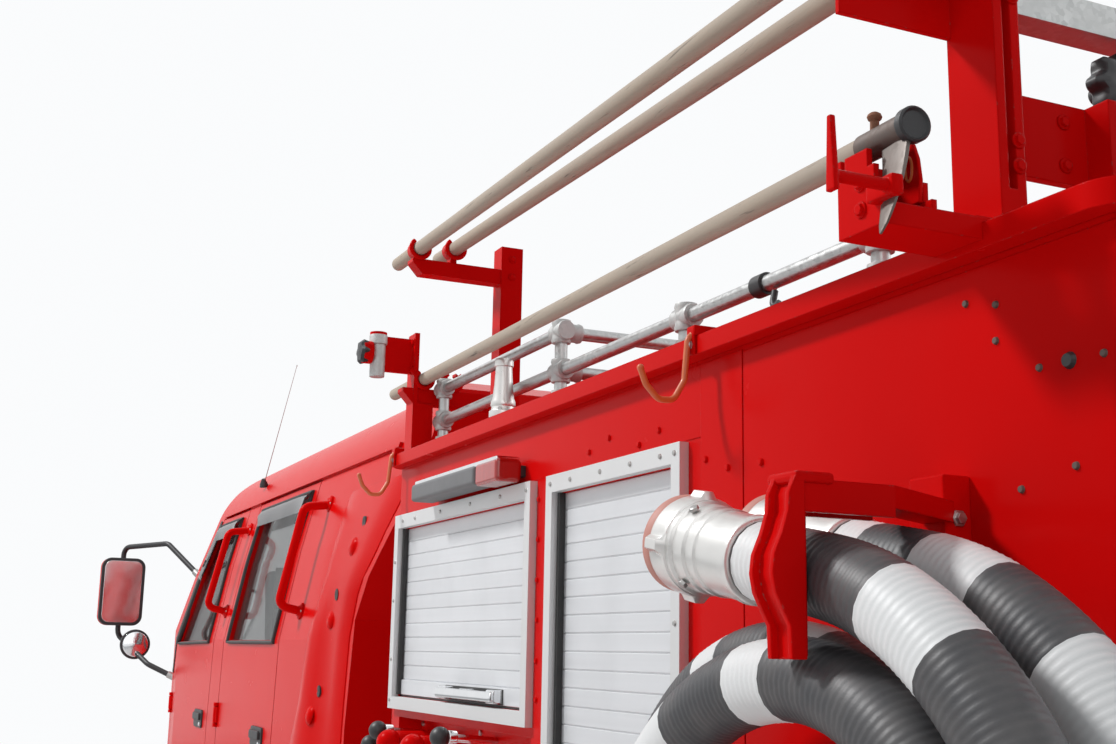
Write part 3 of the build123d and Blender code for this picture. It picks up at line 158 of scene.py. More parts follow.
class ShaderTree(Graph):
    """One material's nodes, each step a short call."""

    def __init__(self, name: str) -> None:
        """Start a node material with its shader and output."""
        self.material = bpy.data.materials.new(name)
        self.material.use_nodes = True
        super().__init__(self.material.node_tree)
        self.tree.nodes.clear()
        self.shader = self.node("ShaderNodeBsdfPrincipled")
        self.node("ShaderNodeOutputMaterial", self.shader.outputs[0])
        self.coordinates = self.node("ShaderNodeTexCoord").outputs["Object"]

    def noise(self, scale: float, detail: float = 4.0, stretch: Point = (1, 1, 1), roughness: float = 0.55):
        """Fractal noise in object space.

        Args:
            scale: cells per metre.
            detail: number of octaves.
            stretch: factor along X, Y and Z before the noise.
            roughness: weight of the finer octaves.

        Returns:
            The factor socket.
        """
        place = self.node("ShaderNodeMapping", Vector=self.coordinates, Scale=stretch).outputs[0]
        return self.node("ShaderNodeTexNoise", Vector=place, Scale=scale, Detail=detail,
                         Roughness=roughness).outputs["Fac"]

    def cells(self, scale: float):
        """Voronoi cell colours as one factor, for crystals and flakes."""
        cells = self.node("ShaderNodeTexVoronoi", Vector=self.coordinates, Scale=scale)
        return self.node("ShaderNodeSeparateColor", cells.outputs["Color"]).outputs[0]

    def ramp(self, factor, stops: Outline):
        """Remap a factor through grey stops, given as position and value pairs in order."""
        node = self.node("ShaderNodeValToRGB", factor)
        ramp = node.color_ramp
        while len(ramp.elements) < len(stops):
            ramp.elements.new(0.5)
        for element, (position, value) in zip(ramp.elements, stops):
            element.position = position
            element.color = (value, value, value, 1)
        return node.outputs[0]

    def blend(self, factor, first, second):
        """Mix two colours, each a socket or a plain colour, the second one at factor 1."""
        node = self.node("ShaderNodeMix", factor, settings={"data_type": "RGBA"})
        for socket, value in zip(node.inputs[6:8], (first, second)):
            self.feed(socket, value if isinstance(value, bpy.types.NodeSocket) else (*value, 1))
        return node.outputs[2]

    def spread(self, factor, low: float, high: float):
        """Stretch a factor from 0 and 1 to two values."""
        return self.node("ShaderNodeMapRange", Value=factor, To_Min=low, To_Max=high).outputs["Result"]

    def rounded(self, radius: float) -> bpy.types.NodeSocket:
        """The surface's direction with its edges rounded by a radius."""
        return self.node("ShaderNodeBevel", settings={"samples": 4}, Radius=radius).outputs[0]

    def edges(self, radius: float):
        """How much a place lies on an outer edge, from the rounded direction against the true one."""
        true = self.node("ShaderNodeNewGeometry").outputs["Normal"]
        dot = self.node("ShaderNodeVectorMath", self.rounded(radius), true,
                        settings={"operation": "DOT_PRODUCT"})
        return self.ramp(dot.outputs["Value"], [(0.80, 1.0), (0.97, 0.0)])

    def bump(self, factor, depth: float, strength: float = 1.0, rounding: float = 0.0) -> None:
        """Raise the surface by a factor, over edges rounded by a radius.

        Args:
            factor: height socket.
            depth: height of a full step, metres.
            strength: share of the effect.
            rounding: radius of the rounded edges, metres.
        """
        node = self.node("ShaderNodeBump", Strength=strength, Distance=depth, Height=factor)
        if rounding:
            self.feed(node.inputs["Normal"], self.rounded(rounding))
        self.feed(self.shader.inputs["Normal"], node.outputs[0])


@dataclass(frozen=True)
class Finish:
    """One finish: its base colour, how it shines and what breaks it up."""

    name: str
    colour: Point
    pattern: Pattern
    roughness: float = 0.4
    metallic: float = 0.0
    coat: float = 0.0
    dust: float = 0.0
    slot: str = "red_paint"
    grain_axis: Point = (1, 1, 1)
    specular: float = 0.5
    shine: Point = (1, 1, 1)

    def build(self) -> bpy.types.Material:
        """Make the node material for this finish."""
        tree = ShaderTree(self.name)
        for name, value in (("Metallic", self.metallic), ("Coat Weight", self.coat), ("Coat Roughness", 0.06),
                            ("Specular IOR Level", self.specular), ("Specular Tint", (*self.shine, 1))):
            tree.shader.inputs[name].default_value = value
        getattr(self, f"_{self.pattern.value}")(tree)
        return tree.material

    def _shade(self, share: float) -> Point:
        """The base colour made darker or lighter by a share."""
        return tuple(min(1.0, max(0.0, c * share)) for c in self.colour)

    def _surface(self, tree: ShaderTree, colour, factor, low: float, high: float) -> None:
        """Feed the shader a colour, and the roughness times a share that follows a factor."""
        tree.feed(tree.shader.inputs["Base Color"], colour)
        rough = tree.spread(factor, self.roughness * low, self.roughness * high)
        tree.feed(tree.shader.inputs["Roughness"], rough)

    def _paint(self, tree: ShaderTree) -> None:
        """Sprayed enamel: slow drift, dust film, orange peel, and chips and rub marks on edges."""
        colour = tree.blend(tree.noise(2.2, 5), self._shade(0.95), self._shade(1.03))
        film = tree.ramp(tree.noise(9, 8, (1, 1, 0.35)), [(0.45, 0.0), (0.8, 1.0)])
        colour = tree.blend(tree.spread(film, 0.0, self.dust), colour, DUST)
        chips = tree.ramp(tree.noise(170, 6), [(0.60, 0.0), (0.64, 1.0)])
        worn = tree.math("MULTIPLY", tree.edges(0.003), chips)
        colour = tree.blend(tree.spread(worn, 0.0, 0.55), colour, (0.16, 0.13, 0.12))
        self._surface(tree, colour, tree.noise(14, 6), 0.9, 1.12)
        tree.bump(tree.noise(420, 2), 0.00006, 0.2, 0.0025)

    def _zinc(self, tree: ShaderTree) -> None:
        """Hot-dip zinc: crystal spangle under a dull mottled bloom."""
        spangle = tree.cells(160)
        base = tree.blend(spangle, self._shade(0.78), self._shade(1.08))
        colour = tree.blend(tree.ramp(tree.noise(30, 8), [(0.35, 0.0), (0.7, 1.0)]), base, self._shade(0.88))
        self._surface(tree, colour, spangle, 0.8, 1.25)
        tree.bump(tree.noise(240, 4), 0.0002, 0.35, 0.001)

    def _brushed(self, tree: ShaderTree) -> None:
        """Drawn or brushed metal: long fine lines with soft stains."""
        lines = tree.noise(60, 6, self.grain_axis)
        stain = tree.ramp(tree.noise(6, 6), [(0.45, 0.0), (0.8, 0.35)])
        colour = tree.blend(stain, tree.blend(lines, self._shade(0.9), self._shade(1.08)), self._shade(0.74))
        self._surface(tree, colour, lines, 0.7, 1.35)
        tree.bump(lines, 0.00012, 0.3, 0.001)

    def _wood(self, tree: ShaderTree) -> None:
        """Weathered pole: long grain, grey silvering and small dark checks."""
        grain = tree.noise(60, 8, (0.05, 1, 1), 0.62)
        grey = tree.noise(9, 5, (0.4, 1, 1))
        checks = tree.ramp(tree.noise(140, 5, (0.03, 1, 1)), [(0.28, 1.0), (0.36, 0.0)])
        base = tree.blend(grain, self._shade(0.72), self._shade(1.18))
        base = tree.blend(tree.spread(grey, 0.0, 0.75), base, (0.43, 0.38, 0.33))
        colour = tree.blend(tree.spread(checks, 0.0, 0.75), base, (0.10, 0.085, 0.07))
        self._surface(tree, colour, grain, 0.9, 1.15)
        tree.bump(grain, 0.0009, 0.6)

    def _rubber(self, tree: ShaderTree) -> None:
        """Aged rubber with a pale bloom of dust."""
        bloom = tree.ramp(tree.noise(18, 8), [(0.4, 0.0), (0.8, 1.0)])
        colour = tree.blend(tree.spread(bloom, 0.02, 0.02 + self.dust), self.colour, (0.33, 0.30, 0.28))
        self._surface(tree, colour, tree.noise(70, 4), 0.85, 1.1)
        tree.bump(tree.noise(500, 3), 0.0003, 0.35)

    def _plastic(self, tree: ShaderTree) -> None:
        """Moulded plastic with a fine leather grain."""
        colour = tree.blend(tree.noise(6, 4), self._shade(0.8), self._shade(1.25))
        self._surface(tree, colour, tree.noise(40, 4), 0.85, 1.15)
        tree.bump(tree.cells(900), 0.0001, 0.3, 0.001)

    def _fabric(self, tree: ShaderTree) -> None:
        """Woven seat cloth: two crossed thread sets."""
        weave = tree.math("MULTIPLY", tree.noise(240, 2, (1, 1, 0.15)), tree.noise(240, 2, (1, 0.15, 1)))
        colour = tree.blend(tree.ramp(weave, [(0.15, 0.0), (0.4, 1.0)]), self._shade(0.7), self._shade(1.4))
        self._surface(tree, colour, weave, 0.895, 1.053)
        tree.bump(weave, 0.0006, 0.6)

    def _lens(self, tree: ShaderTree) -> None:
        """Moulded lens: tinted, glossy, with fine flutes."""
        flutes = tree.noise(90, 2, (1, 1, 0.08))
        colour = tree.blend(flutes, self._shade(0.8), self._shade(1.2))
        self._surface(tree, colour, flutes, 0.8, 1.4)
        tree.bump(flutes, 0.0006, 0.5)


@dataclass(frozen=True)
class GlassFinish:
    """Window glass or smoked sheet: thin, see-through, lightly soiled."""

    name: str
    tint: Point
    clearness: float
    slot: str = "window_glass"

    def build(self) -> bpy.types.Material:
        """Make the node material for this glass."""
        tree = ShaderTree(self.name)
        for name, value in (("Roughness", 0.03), ("IOR", 1.5), ("Specular IOR Level", 0.3)):
            tree.shader.inputs[name].default_value = value
        soil = tree.ramp(tree.noise(5, 8, (1, 1, 0.4)), [(0.4, 0.0), (0.85, 1.0)])
        colour = tree.blend(tree.spread(soil, 0.0, 0.2), self.tint, (0.4, 0.38, 0.36))
        tree.feed(tree.shader.inputs["Base Color"], colour)
        clear = tree.spread(soil, 1 - self.clearness, 1 - self.clearness * 0.85)
        tree.feed(tree.shader.inputs["Alpha"], clear)
        return tree.material


RED = Finish("red enamel", (0.66, 0.0030, 0.0030), Pattern.PAINT, 0.26, dust=0.004, specular=0.05,
             shine=(1.0, 0.22, 0.20))
BLACK = Finish("black chassis paint", (0.018, 0.018, 0.02), Pattern.PAINT, 0.5, dust=0.25, slot="frame_black")
ZINC = Finish("galvanised pipe", (0.52, 0.53, 0.525), Pattern.ZINC, 0.36, metallic=0.9, slot="galvanised")
CAST = Finish("cast pipe fitting", (0.56, 0.57, 0.56), Pattern.ZINC, 0.55, metallic=0.45, slot="galvanised")
ALLOY = Finish("anodised slat alloy", (0.74, 0.75, 0.77), Pattern.BRUSHED, 0.42, metallic=0.3,
               slot="shutter_alloy", grain_axis=(0.02, 0.02, 1))
TRIM = Finish("shutter frame alloy", (0.72, 0.72, 0.72), Pattern.BRUSHED, 0.42, metallic=0.4,
              slot="shutter_alloy", grain_axis=(0.05, 0.05, 0.05))
CHROME = Finish("chrome plate", (0.78, 0.79, 0.80), Pattern.BRUSHED, 0.1, metallic=1.0, slot="galvanised",
                grain_axis=(0.3, 0.3, 0.3))
SCREW = Finish("zinc screw", (0.46, 0.45, 0.44), Pattern.ZINC, 0.35, metallic=0.9, slot="galvanised")
COUPLING = Finish("machined coupling alloy", (0.74, 0.73, 0.71), Pattern.BRUSHED, 0.3, metallic=0.75,
                  slot="galvanised", grain_axis=(0.4, 1, 1))
STEEL = Finish("worn steel", (0.17, 0.145, 0.13), Pattern.ZINC, 0.5, metallic=0.6, slot="galvanised")
DARK_STEEL = Finish("blackened ferrule", (0.13, 0.097, 0.083), Pattern.ZINC, 0.55, metallic=0.4,
                    slot="frame_black")
RUST = Finish("rusted bolt", (0.26, 0.11, 0.06), Pattern.ZINC, 0.7, metallic=0.3, slot="galvanised")
TYRE = Finish("tyre rubber", (0.022, 0.022, 0.023), Pattern.RUBBER, 0.8, dust=0.3, slot="tyre_rubber")
GASKET = Finish("rubber gasket", (0.012, 0.012, 0.013), Pattern.RUBBER, 0.55, dust=0.05, slot="tyre_rubber")
WHEEL = Finish("wheel enamel", (0.50, 0.50, 0.49), Pattern.PAINT, 0.4, coat=0.1, dust=0.3,
               slot="wheel_steel")
PLASTIC = Finish("black moulding", (0.02, 0.02, 0.022), Pattern.PLASTIC, 0.45, slot="black_plastic")
GREY = Finish("grey moulding", (0.16, 0.16, 0.165), Pattern.PLASTIC, 0.6, slot="black_plastic")
FABRIC = Finish("seat cloth", (0.09, 0.10, 0.11), Pattern.FABRIC, 0.95, slot="seat_fabric")
WOOD = Finish("weathered pole wood", (0.43, 0.34, 0.255), Pattern.WOOD, 0.75, slot="pole_wood")
RED_LENS = Finish("red lens", (0.42, 0.01, 0.008), Pattern.LENS, 0.12, coat=0.6, slot="lamp_lens")
CLEAR_LENS = Finish("clear lens", (0.72, 0.74, 0.75), Pattern.LENS, 0.08, coat=0.6, slot="lamp_lens")
AMBER_LENS = Finish("amber lens", (0.75, 0.22, 0.015), Pattern.LENS, 0.12, coat=0.6, slot="lamp_lens")
HOSE = Finish("suction hose rubber", (0.040, 0.041, 0.046), Pattern.RUBBER, 0.5, dust=0.22,
              slot="hose_rubber")
BAND = Finish("white hose band", (0.80, 0.81, 0.81), Pattern.RUBBER, 0.5, dust=0.05, slot="hose_rubber")
SEAL = Finish("pink coupling seal", (0.62, 0.27, 0.22), Pattern.RUBBER, 0.6, dust=0.1, slot="hose_rubber")
ORANGE = Finish("orange enamel", (0.72, 0.14, 0.03), Pattern.PAINT, 0.4, coat=0.2, dust=0.15,
                slot="hook_orange")
GLASS = GlassFinish("window glass", (0.03, 0.04, 0.04), 0.62)
SMOKE = GlassFinish("smoked visor", (0.03, 0.03, 0.035), 0.22)


def named(*starts: str) -> tuple[str, ...]:
    """The frame's nodes whose names start with any of these."""
    return tuple(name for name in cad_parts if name.startswith(starts))


NODE_FINISHES = {
    RED: named("cab_", "body_", "roof_gutter", "door_", "front_bumper", "carriers_", "hose_rack",
               "pump_panels"),
    BLACK: named("chassis_frame", "front_axle", "rear_axle", "knuckle_", "underbody", "engine", "rear_step"),
    ZINC: named("deck_", "fire_hook"),
    ALLOY: named("shutter_curtain_", "shutter_bar_"),
    TRIM: ("shutter_frames",),
    GLASS: named("glass_", "windscreen"),
    TYRE: named("tyre"),
    WHEEL: named("wheel"),
    PLASTIC: ("dashboard", "mirrors"),
    FABRIC: ("seats",),
    WOOD: ("poles",),
    RED_LENS: ("lamps",),
    HOSE: ("suction_hoses",),
    ORANGE: ("lip_hooks",),
}

# X from and to, Z from and to, and half length of the galvanised tube between the rear carriers
CROSS_TUBE = (-2.546, -2.506, 2.170, 2.210, 0.905)

_materials: dict[str, bpy.types.Material] = {}


def material(finish) -> bpy.types.Material:
    """The node material of a finish, made once.

    Args:
        finish: a Finish or GlassFinish.

    Returns:
        Its material.
    """
    if finish.name not in _materials:
        _materials[finish.name] = finish.build()
    return _materials[finish.name]


def rounded_path(points: Sequence[Point], bend: float) -> list[Vector]:
    """A path whose corners are turned into arcs.

    Args:
        points: corners of the path, ends included.
        bend: radius of the arcs.

    Returns:
        The points of the smooth path.
    """
    corners = [Vector(p) for p in points]
    path = [corners[0]]
    for before, corner, after in zip(corners, corners[1:], corners[2:]):
        to_before, to_after = (before - corner).normalized(), (after - corner).normalized()
        half = to_before.angle(to_after) / 2
        if bend <= 0 or half > math.pi / 2 - 0.02:
            path.append(corner)
            continue
        reach = min(bend / math.tan(half), 0.49 * (before - corner).length, 0.49 * (after - corner).length)
        radius = reach * math.tan(half)
        centre = corner + (to_before + to_after).normalized() * (radius / math.sin(half))
        first, last = corner + to_before * reach - centre, corner + to_after * reach - centre
        path += [centre + first.normalized().slerp(last.normalized(), i / ARC_STEPS) * radius
                 for i in range(ARC_STEPS + 1)]
    path.append(corners[-1])
    return path


class Form:
    """A mesh in the making, with one slot for each finish it uses."""

    def __init__(self, name: str, *finishes: Finish | GlassFinish) -> None:
        """Start an empty form.

        Args:
            name: the piece's name.
            finishes: every finish it uses, the main one first.
        """
        self.name = name
        self.finishes = finishes
        self.mesh = bmesh.new()

    def _dress(self, faces: Iterable[bmesh.types.BMFace], finish: Finish | GlassFinish | None) -> None:
        """Give faces their finish and smooth shading."""
        index = self.finishes.index(finish) if finish else 0
        for face in faces:
            face.material_index = index
            face.smooth = True

    def solid(self, rings: Sequence[Sequence[Point]], finish=None, caps: bool = True,
              closed: bool = False, edge: float = 0.0, segments: int = 2) -> None:
        """Skin rings of points, each the same length, into a solid.

        Args:
            rings: the rings in order.
            finish: the finish of its faces, the form's first if left out.
            caps: whether the two end rings get a face.
            closed: whether the last ring joins the first.
            edge: width of the bevel on its sharp edges.
            segments: steps in that bevel.
        """
        verts = [[self.mesh.verts.new(p) for p in ring] for ring in rings]
        count = len(verts[0])
        faces = []
        pairs = list(zip(verts, verts[1:])) + ([(verts[-1], verts[0])] if closed else [])
        for low, high in pairs:
            for i in range(count):
                j = (i + 1) % count
                faces.append(self.mesh.faces.new((low[i], low[j], high[j], high[i])))
        if caps and not closed:
            faces.append(self.mesh.faces.new(list(reversed(verts[0]))))
            faces.append(self.mesh.faces.new(verts[-1]))
        self._dress(faces, finish)
        if edge:
            bmesh.ops.recalc_face_normals(self.mesh, faces=faces)
            sharp = {e for f in faces for e in f.edges if e.calc_face_angle(0.0) > math.radians(30)}
            result = bmesh.ops.bevel(self.mesh, geom=list(sharp), offset=edge, segments=segments, profile=0.5,
                                     affect="EDGES", clamp_overlap=True)
            self._dress(result["faces"], finish)

    def box(self, low: Point, high: Point, finish=None, edge: float = 0.0015, segments: int = 2) -> None:
        """A block between two corners, given in any order.

        Args:
            low: one corner.
            high: the corner across from it.
            finish: the finish of its faces.
            edge: width of the bevel on its edges.
            segments: steps in that bevel.
        """
        (x0, x1), (y0, y1), (z0, z1) = (sorted(pair) for pair in zip(low, high))
        self.solid([[(x0, y0, z), (x1, y0, z), (x1, y1, z), (x0, y1, z)] for z in (z0, z1)], finish,
                   edge=edge, segments=segments)

    def prism(self, outline: Outline, along: Along, near: float, far: float, finish=None,
              edge: float = 0.001, segments: int = 2) -> None:
        """A flat outline pulled along an axis.

        Args:
            outline: points in the other two axes, in order.
            along: the axis it is pulled along.
            near: where it starts.
            far: where it ends.
            finish: the finish of its faces.
            edge: width of the bevel on its edges.
            segments: steps in that bevel.
        """
        order = [along.value.index(axis) for axis in range(3)]
        rings = [[[(a, b, level)[k] for k in order] for a, b in outline] for level in (near, far)]
        self.solid(rings, finish, edge=edge, segments=segments)

    def lathe(self, centre: Point, axis: Point, profile: Sequence[tuple[float, float]], finish=None,
              sides: int = 32, closed: bool = False,
              shape: Callable[[float, float], float] | None = None) -> None:
        """A turned form.

        Args:
            centre: the axis's zero point.
            axis: its direction.
            profile: places along the axis with the radius at each.
            finish: the finish of its faces.
            sides: points round it.
            closed: whether the profile is a closed loop, as on a ring.
            shape: factor on the radius from the angle and the place along, for lobes and lugs.
        """
        turn = Vector(axis).normalized().to_track_quat("Z", "Y")
        rings = []
        for along, radius in profile:
            ring = []
            for i in range(sides):
                angle = 2 * math.pi * i / sides
                reach = max(radius, 1e-5) * (shape(angle, along) if shape else 1.0)
                spoke = Vector((reach * math.cos(angle), reach * math.sin(angle), along))
                ring.append(Vector(centre) + turn @ spoke)
            rings.append(ring)
        self.solid(rings, finish, caps=not closed, closed=closed)

    def tube(self, points: Sequence[Point], radius: float, finish=None, sides: int = 14, bend: float = 0.0,
             loop: bool = False, flat: float = 1.0,
             taper: Callable[[float], float] | None = None) -> None:
        """A round bar along a path.

        Args:
            points: corners of the path.
            radius: the bar's radius.
            finish: the finish of its faces.
            sides: points round it.
            bend: radius of the corners of an open path.
            loop: whether the path closes on itself.
            flat: factor on its second half-axis, below 1 for a flattened bar.
            taper: factor on the radius from the share of the way along.
        """
        path = rounded_path(points, bend)
        count = len(path)
        rings = []
        lengths = [0.0]
        for a, b in zip(path, path[1:]):
            lengths.append(lengths[-1] + (b - a).length)
        total = lengths[-1] or 1.0
        before = (path[1] - path[0]).normalized()
        normal = before.orthogonal().normalized()
        for i, place in enumerate(path):
            ahead = path[(i + 1) % count] if loop or i + 1 < count else place
            behind = path[i - 1] if loop or i > 0 else place
            heading = (ahead - behind).normalized()
            normal = (normal - heading * normal.dot(heading)).normalized()
            side = heading.cross(normal)
            stretch = 1.0 if loop else 1 / max(0.5, math.cos(min(1.0, heading.angle(before, 0.0)) / 2))
            before = heading
            reach = radius * (taper(lengths[i] / total) if taper else 1.0)
            rings.append([place + normal * math.cos(t) * reach + side * math.sin(t) * reach * flat * stretch
                          for t in (2 * math.pi * k / sides for k in range(sides))])
        self.solid(rings, finish, caps=not loop, closed=loop)

    def ball(self, centre: Point, radius: float, finish=None, sides: int = 16, squash: float = 1.0) -> None:
        """A ball or flattened knob.

        Args:
            centre: its middle.
            radius: its radius.
            finish: the finish of its faces.
            sides: points round it.
            squash: factor on its height.
        """
        half = sides // 2
        profile = [(-radius * squash * math.cos(math.pi * i / half), radius * math.sin(math.pi * i / half))
                   for i in range(half + 1)]
        self.lathe(centre, UP, profile, finish, sides)

    def made(self, smooth: float = SMOOTH) -> bpy.types.Object:
        """Turn the form into an object at the origin, linked to the scene.

        Args:
            smooth: angle in degrees above which an edge stays sharp.

        Returns:
            The object.
        """
        bmesh.ops.remove_doubles(self.mesh, verts=self.mesh.verts, dist=2e-6)
        bmesh.ops.recalc_face_normals(self.mesh, faces=self.mesh.faces)
        # bevels leave their points and faces in another order each run
        for elements, place in ((self.mesh.verts, lambda v: v.co[:]),
                                (self.mesh.faces, lambda f: f.calc_center_median()[:])):
            for rank, element in enumerate(sorted(elements, key=place)):
                element.index = rank
            elements.sort()
        data = bpy.data.meshes.new(self.name)
        self.mesh.to_mesh(data)
        self.mesh.free()
        for finish in self.finishes:
            data.materials.append(material(finish))
        data.set_sharp_from_angle(angle=math.radians(smooth))
        return placed(self.name, data)

    def fit(self, body: str = "root", replaces: Sequence[str] = (),
            smooth: float = SMOOTH) -> bpy.types.Object:
        """Finish the form and hang it on a body.

        Args:
            body: the body that carries it.
            replaces: CAD nodes it stands for.
            smooth: angle in degrees above which an edge stays sharp.

        Returns:
            The finished piece.
        """
        piece = self.made(smooth)
        piece.modifiers.new("face weights", "WEIGHTED_NORMAL").keep_sharp = True
        bake(piece)
        return hang(piece, body, self.finishes[0].slot, replaces)


def placed(name: str, data: bpy.types.ID) -> bpy.types.Object:
    """A new object with this data, linked to the scene."""
    made = bpy.data.objects.new(name, data)
    bpy.context.scene.collection.objects.link(made)
    return made


def bake(piece: bpy.types.Object) -> None:
    """Take a piece's evaluated mesh as its own and drop its modifiers."""
    graph = bpy.context.evaluated_depsgraph_get()
    data = bpy.data.meshes.new_from_object(piece.evaluated_get(graph))
    piece.modifiers.clear()
    piece.data = data


def hang(piece: bpy.types.Object, body: str, slot: str, replaces: Sequence[str] = ()) -> bpy.types.Object:
    """Hang a finished piece on a body and report it.

    Args:
        piece: the finished mesh object.
        body: the body that carries it.
        slot: the record's material slot, not used.
        replaces: CAD nodes it stands for.

    Returns:
        The same piece.
    """
    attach(piece, body)
    if replaces:
        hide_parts(*replaces)
    log.info("%s on %s, %d faces", piece.name, body, len(piece.data.polygons))
    return piece


class NodeTree(Graph):
    """A Geometry Nodes tree with named inputs, built in short calls."""

    def __init__(self, name: str) -> None:
        """Start a tree that takes a geometry and gives one back."""
        super().__init__(bpy.data.node_groups.new(name, "GeometryNodeTree"))
        for way in ("INPUT", "OUTPUT"):
            self.tree.interface.new_socket("Geometry", in_out=way, socket_type="NodeSocketGeometry")
        self.source = self.tree.nodes.new("NodeGroupInput")
        self.sink = self.tree.nodes.new("NodeGroupOutput")

    def size(self, name: str, kind: str = "Float") -> bpy.types.NodeSocket:
        """A named input of the tree, as its socket inside the tree."""
        self.tree.interface.new_socket(name, in_out="INPUT", socket_type=f"NodeSocket{kind}")
        return self.source.outputs[name]

    def copies(self, mesh, instance, **inputs) -> bpy.types.NodeSocket:
        """One copy of an instance on each point of a mesh."""
        points = self.node("GeometryNodeMeshToPoints", Mesh=mesh).outputs[0]
        copies = self.node("GeometryNodeInstanceOnPoints", Points=points, Instance=instance, **inputs)
        return copies.outputs[0]

    def close(self, geometry) -> None:
        """End the tree in Realize Instances and Set Material, with the material as an input."""
        solid = self.node("GeometryNodeRealizeInstances", Geometry=geometry)
        result = self.node("GeometryNodeSetMaterial", Geometry=solid.outputs[0],
                           Material=self.size("Finish", "Material"))
        self.feed(self.sink.inputs[0], result.outputs[0])

    def grow(self, seed: bpy.types.Object, name: str, **values) -> bpy.types.Object:
        """Run the tree on an object and keep the result as a plain mesh.

        Args:
            seed: the object it starts from, removed afterwards.
            name: the name of the result.
            values: the tree's inputs by name, with _ for a space.

        Returns:
            A new plain mesh object.
        """
        modifier = seed.modifiers.new("grow", "NODES")
        modifier.node_group = self.tree
        for item in self.tree.interface.items_tree:
            key = item.name.replace(" ", "_")
            if item.in_out == "INPUT" and key in values:
                modifier[item.identifier] = values[key]
        bpy.context.view_layer.update()
        graph = bpy.context.evaluated_depsgraph_get()
        data = bpy.data.meshes.new_from_object(seed.evaluated_get(graph))
        bpy.data.objects.remove(seed)
        data.name = name
        return placed(name, data)


class Studs:
    """Screws, bolts, rivets and nuts: one small head on every point, along its own direction."""

    def __init__(self) -> None:
        """Build the tree once for all heads."""
        tree = self.nodes = NodeTree("studs")
        radius, height, top = (tree.size(name) for name in ("Radius", "Height", "Top share"))
        head = tree.node("GeometryNodeMeshCone", Vertices=tree.size("Sides", "Int"), Depth=height,
                         Radius_Top=tree.math("MULTIPLY", radius, top), Radius_Bottom=radius)
        way = tree.node("GeometryNodeInputNamedAttribute", settings={"data_type": "FLOAT_VECTOR"}, Name="way")
        turn = tree.node("FunctionNodeAlignRotationToVector", settings={"axis": "Z"}, Vector=way.outputs[0])
        tree.close(tree.copies(tree.source.outputs[0], head.outputs[0], Rotation=turn.outputs[0]))

    def fit(self, name: str, places: Sequence[tuple[Point, Point]], radius: float, height: float,
            finish: Finish, body: str = "root", sides: int = 12, top: float = 0.72) -> bpy.types.Object:
        """Set one head on each place.

        Args:
            name: the piece's name.
            places: each head's foot and the way it points.
            radius: the head's radius.
            height: the head's height, its foot sunk by a tenth.
            finish: its finish.
            body: the body that carries it.
            sides: points round the head.
            top: share of the radius left at its top.

        Returns:
            The finished piece.
        """
        data = bpy.data.meshes.new(name)
        feet = [Vector(foot) - Vector(way).normalized() * height * 0.1 for foot, way in places]
        data.from_pydata(feet, [], [])
        ways = data.attributes.new("way", "FLOAT_VECTOR", "POINT")
        for entry, (_, way) in zip(ways.data, places):
            entry.vector = way
        made = self.nodes.grow(placed(name + "_seed", data), name, Radius=radius, Height=height, Sides=sides,
                               Top_share=top, Finish=material(finish))
        return hang(made, body, finish.slot)


class Repeats:
    """Copies of a small form, set out by a node tree."""

    nodes: NodeTree

    def grow(self, form: Form, count: int, place: Point) -> bpy.types.Object:
        """Repeat a form.

        Args:
            form: the first copy of a row in its place, or one of a wreath drawn round the origin.
            count: how many copies.
            place: the step along a row, or the middle of a wreath.

        Returns:
            The plain mesh object.
        """
        name, finish = form.name, material(form.finishes[0])
        return self.nodes.grow(form.made(), name, Count=count, Place=place, Finish=finish)


class Row(Repeats):
    """Copies in a straight row, as slats are."""

    def __init__(self) -> None:
        """Build the tree once for all rows."""
        tree = self.nodes = NodeTree("row")
        line = tree.node("GeometryNodeMeshLine", settings={"mode": "OFFSET"}, Count=tree.size("Count", "Int"),
                         Offset=tree.size("Place", "Vector"))
        tree.close(tree.copies(line.outputs[0], tree.source.outputs[0]))


class Wreath(Repeats):
    """Copies round an axis along Y, as tread lugs are."""

    def __init__(self) -> None:
        """Build the tree once for all wreaths."""
        tree = self.nodes = NodeTree("wreath")
        count, centre = tree.size("Count", "Int"), tree.size("Place", "Vector")
        line = tree.node("GeometryNodeMeshLine", settings={"mode": "OFFSET"}, Count=count, Offset=(0, 0, 0))
        index = tree.node("GeometryNodeInputIndex").outputs[0]
        angle = tree.math("MULTIPLY", tree.math("DIVIDE", index, count), 2 * math.pi)
        turn = tree.node("ShaderNodeCombineXYZ", Y=angle).outputs[0]
        rotation = tree.node("FunctionNodeEulerToRotation", Euler=turn).outputs[0]
        copies = tree.copies(line.outputs[0], tree.source.outputs[0], Rotation=rotation)
        moved = tree.node("GeometryNodeTranslateInstances", Instances=copies, Translation=centre,
                          Local_Space=False)
        tree.close(moved.outputs[0])


def joined(name: str, parts: Sequence[bpy.types.Object]) -> bpy.types.Object:
    """Join plain meshes, materials kept, into one object.

    Args:
        name: the result's name.
        parts: the objects, removed afterwards.

    Returns:
        The joined object.
    """
    mesh = bmesh.new()
    finishes: list[bpy.types.Material] = []
    for part in parts:
        offset = len(mesh.faces)
        mesh.from_mesh(part.data)
        mesh.faces.ensure_lookup_table()
        finishes += [entry for entry in part.data.materials if entry not in finishes]
        lookup = [finishes.index(entry) for entry in part.data.materials]
        for face in mesh.faces[offset:]:
            face.material_index = lookup[face.material_index]
    data = bpy.data.meshes.new(name)
    mesh.to_mesh(data)
    mesh.free()
    for entry in finishes:
        data.materials.append(entry)
    data.set_sharp_from_angle(angle=math.radians(SMOOTH))
    for part in parts:
        bpy.data.objects.remove(part)
    return placed(name, data)


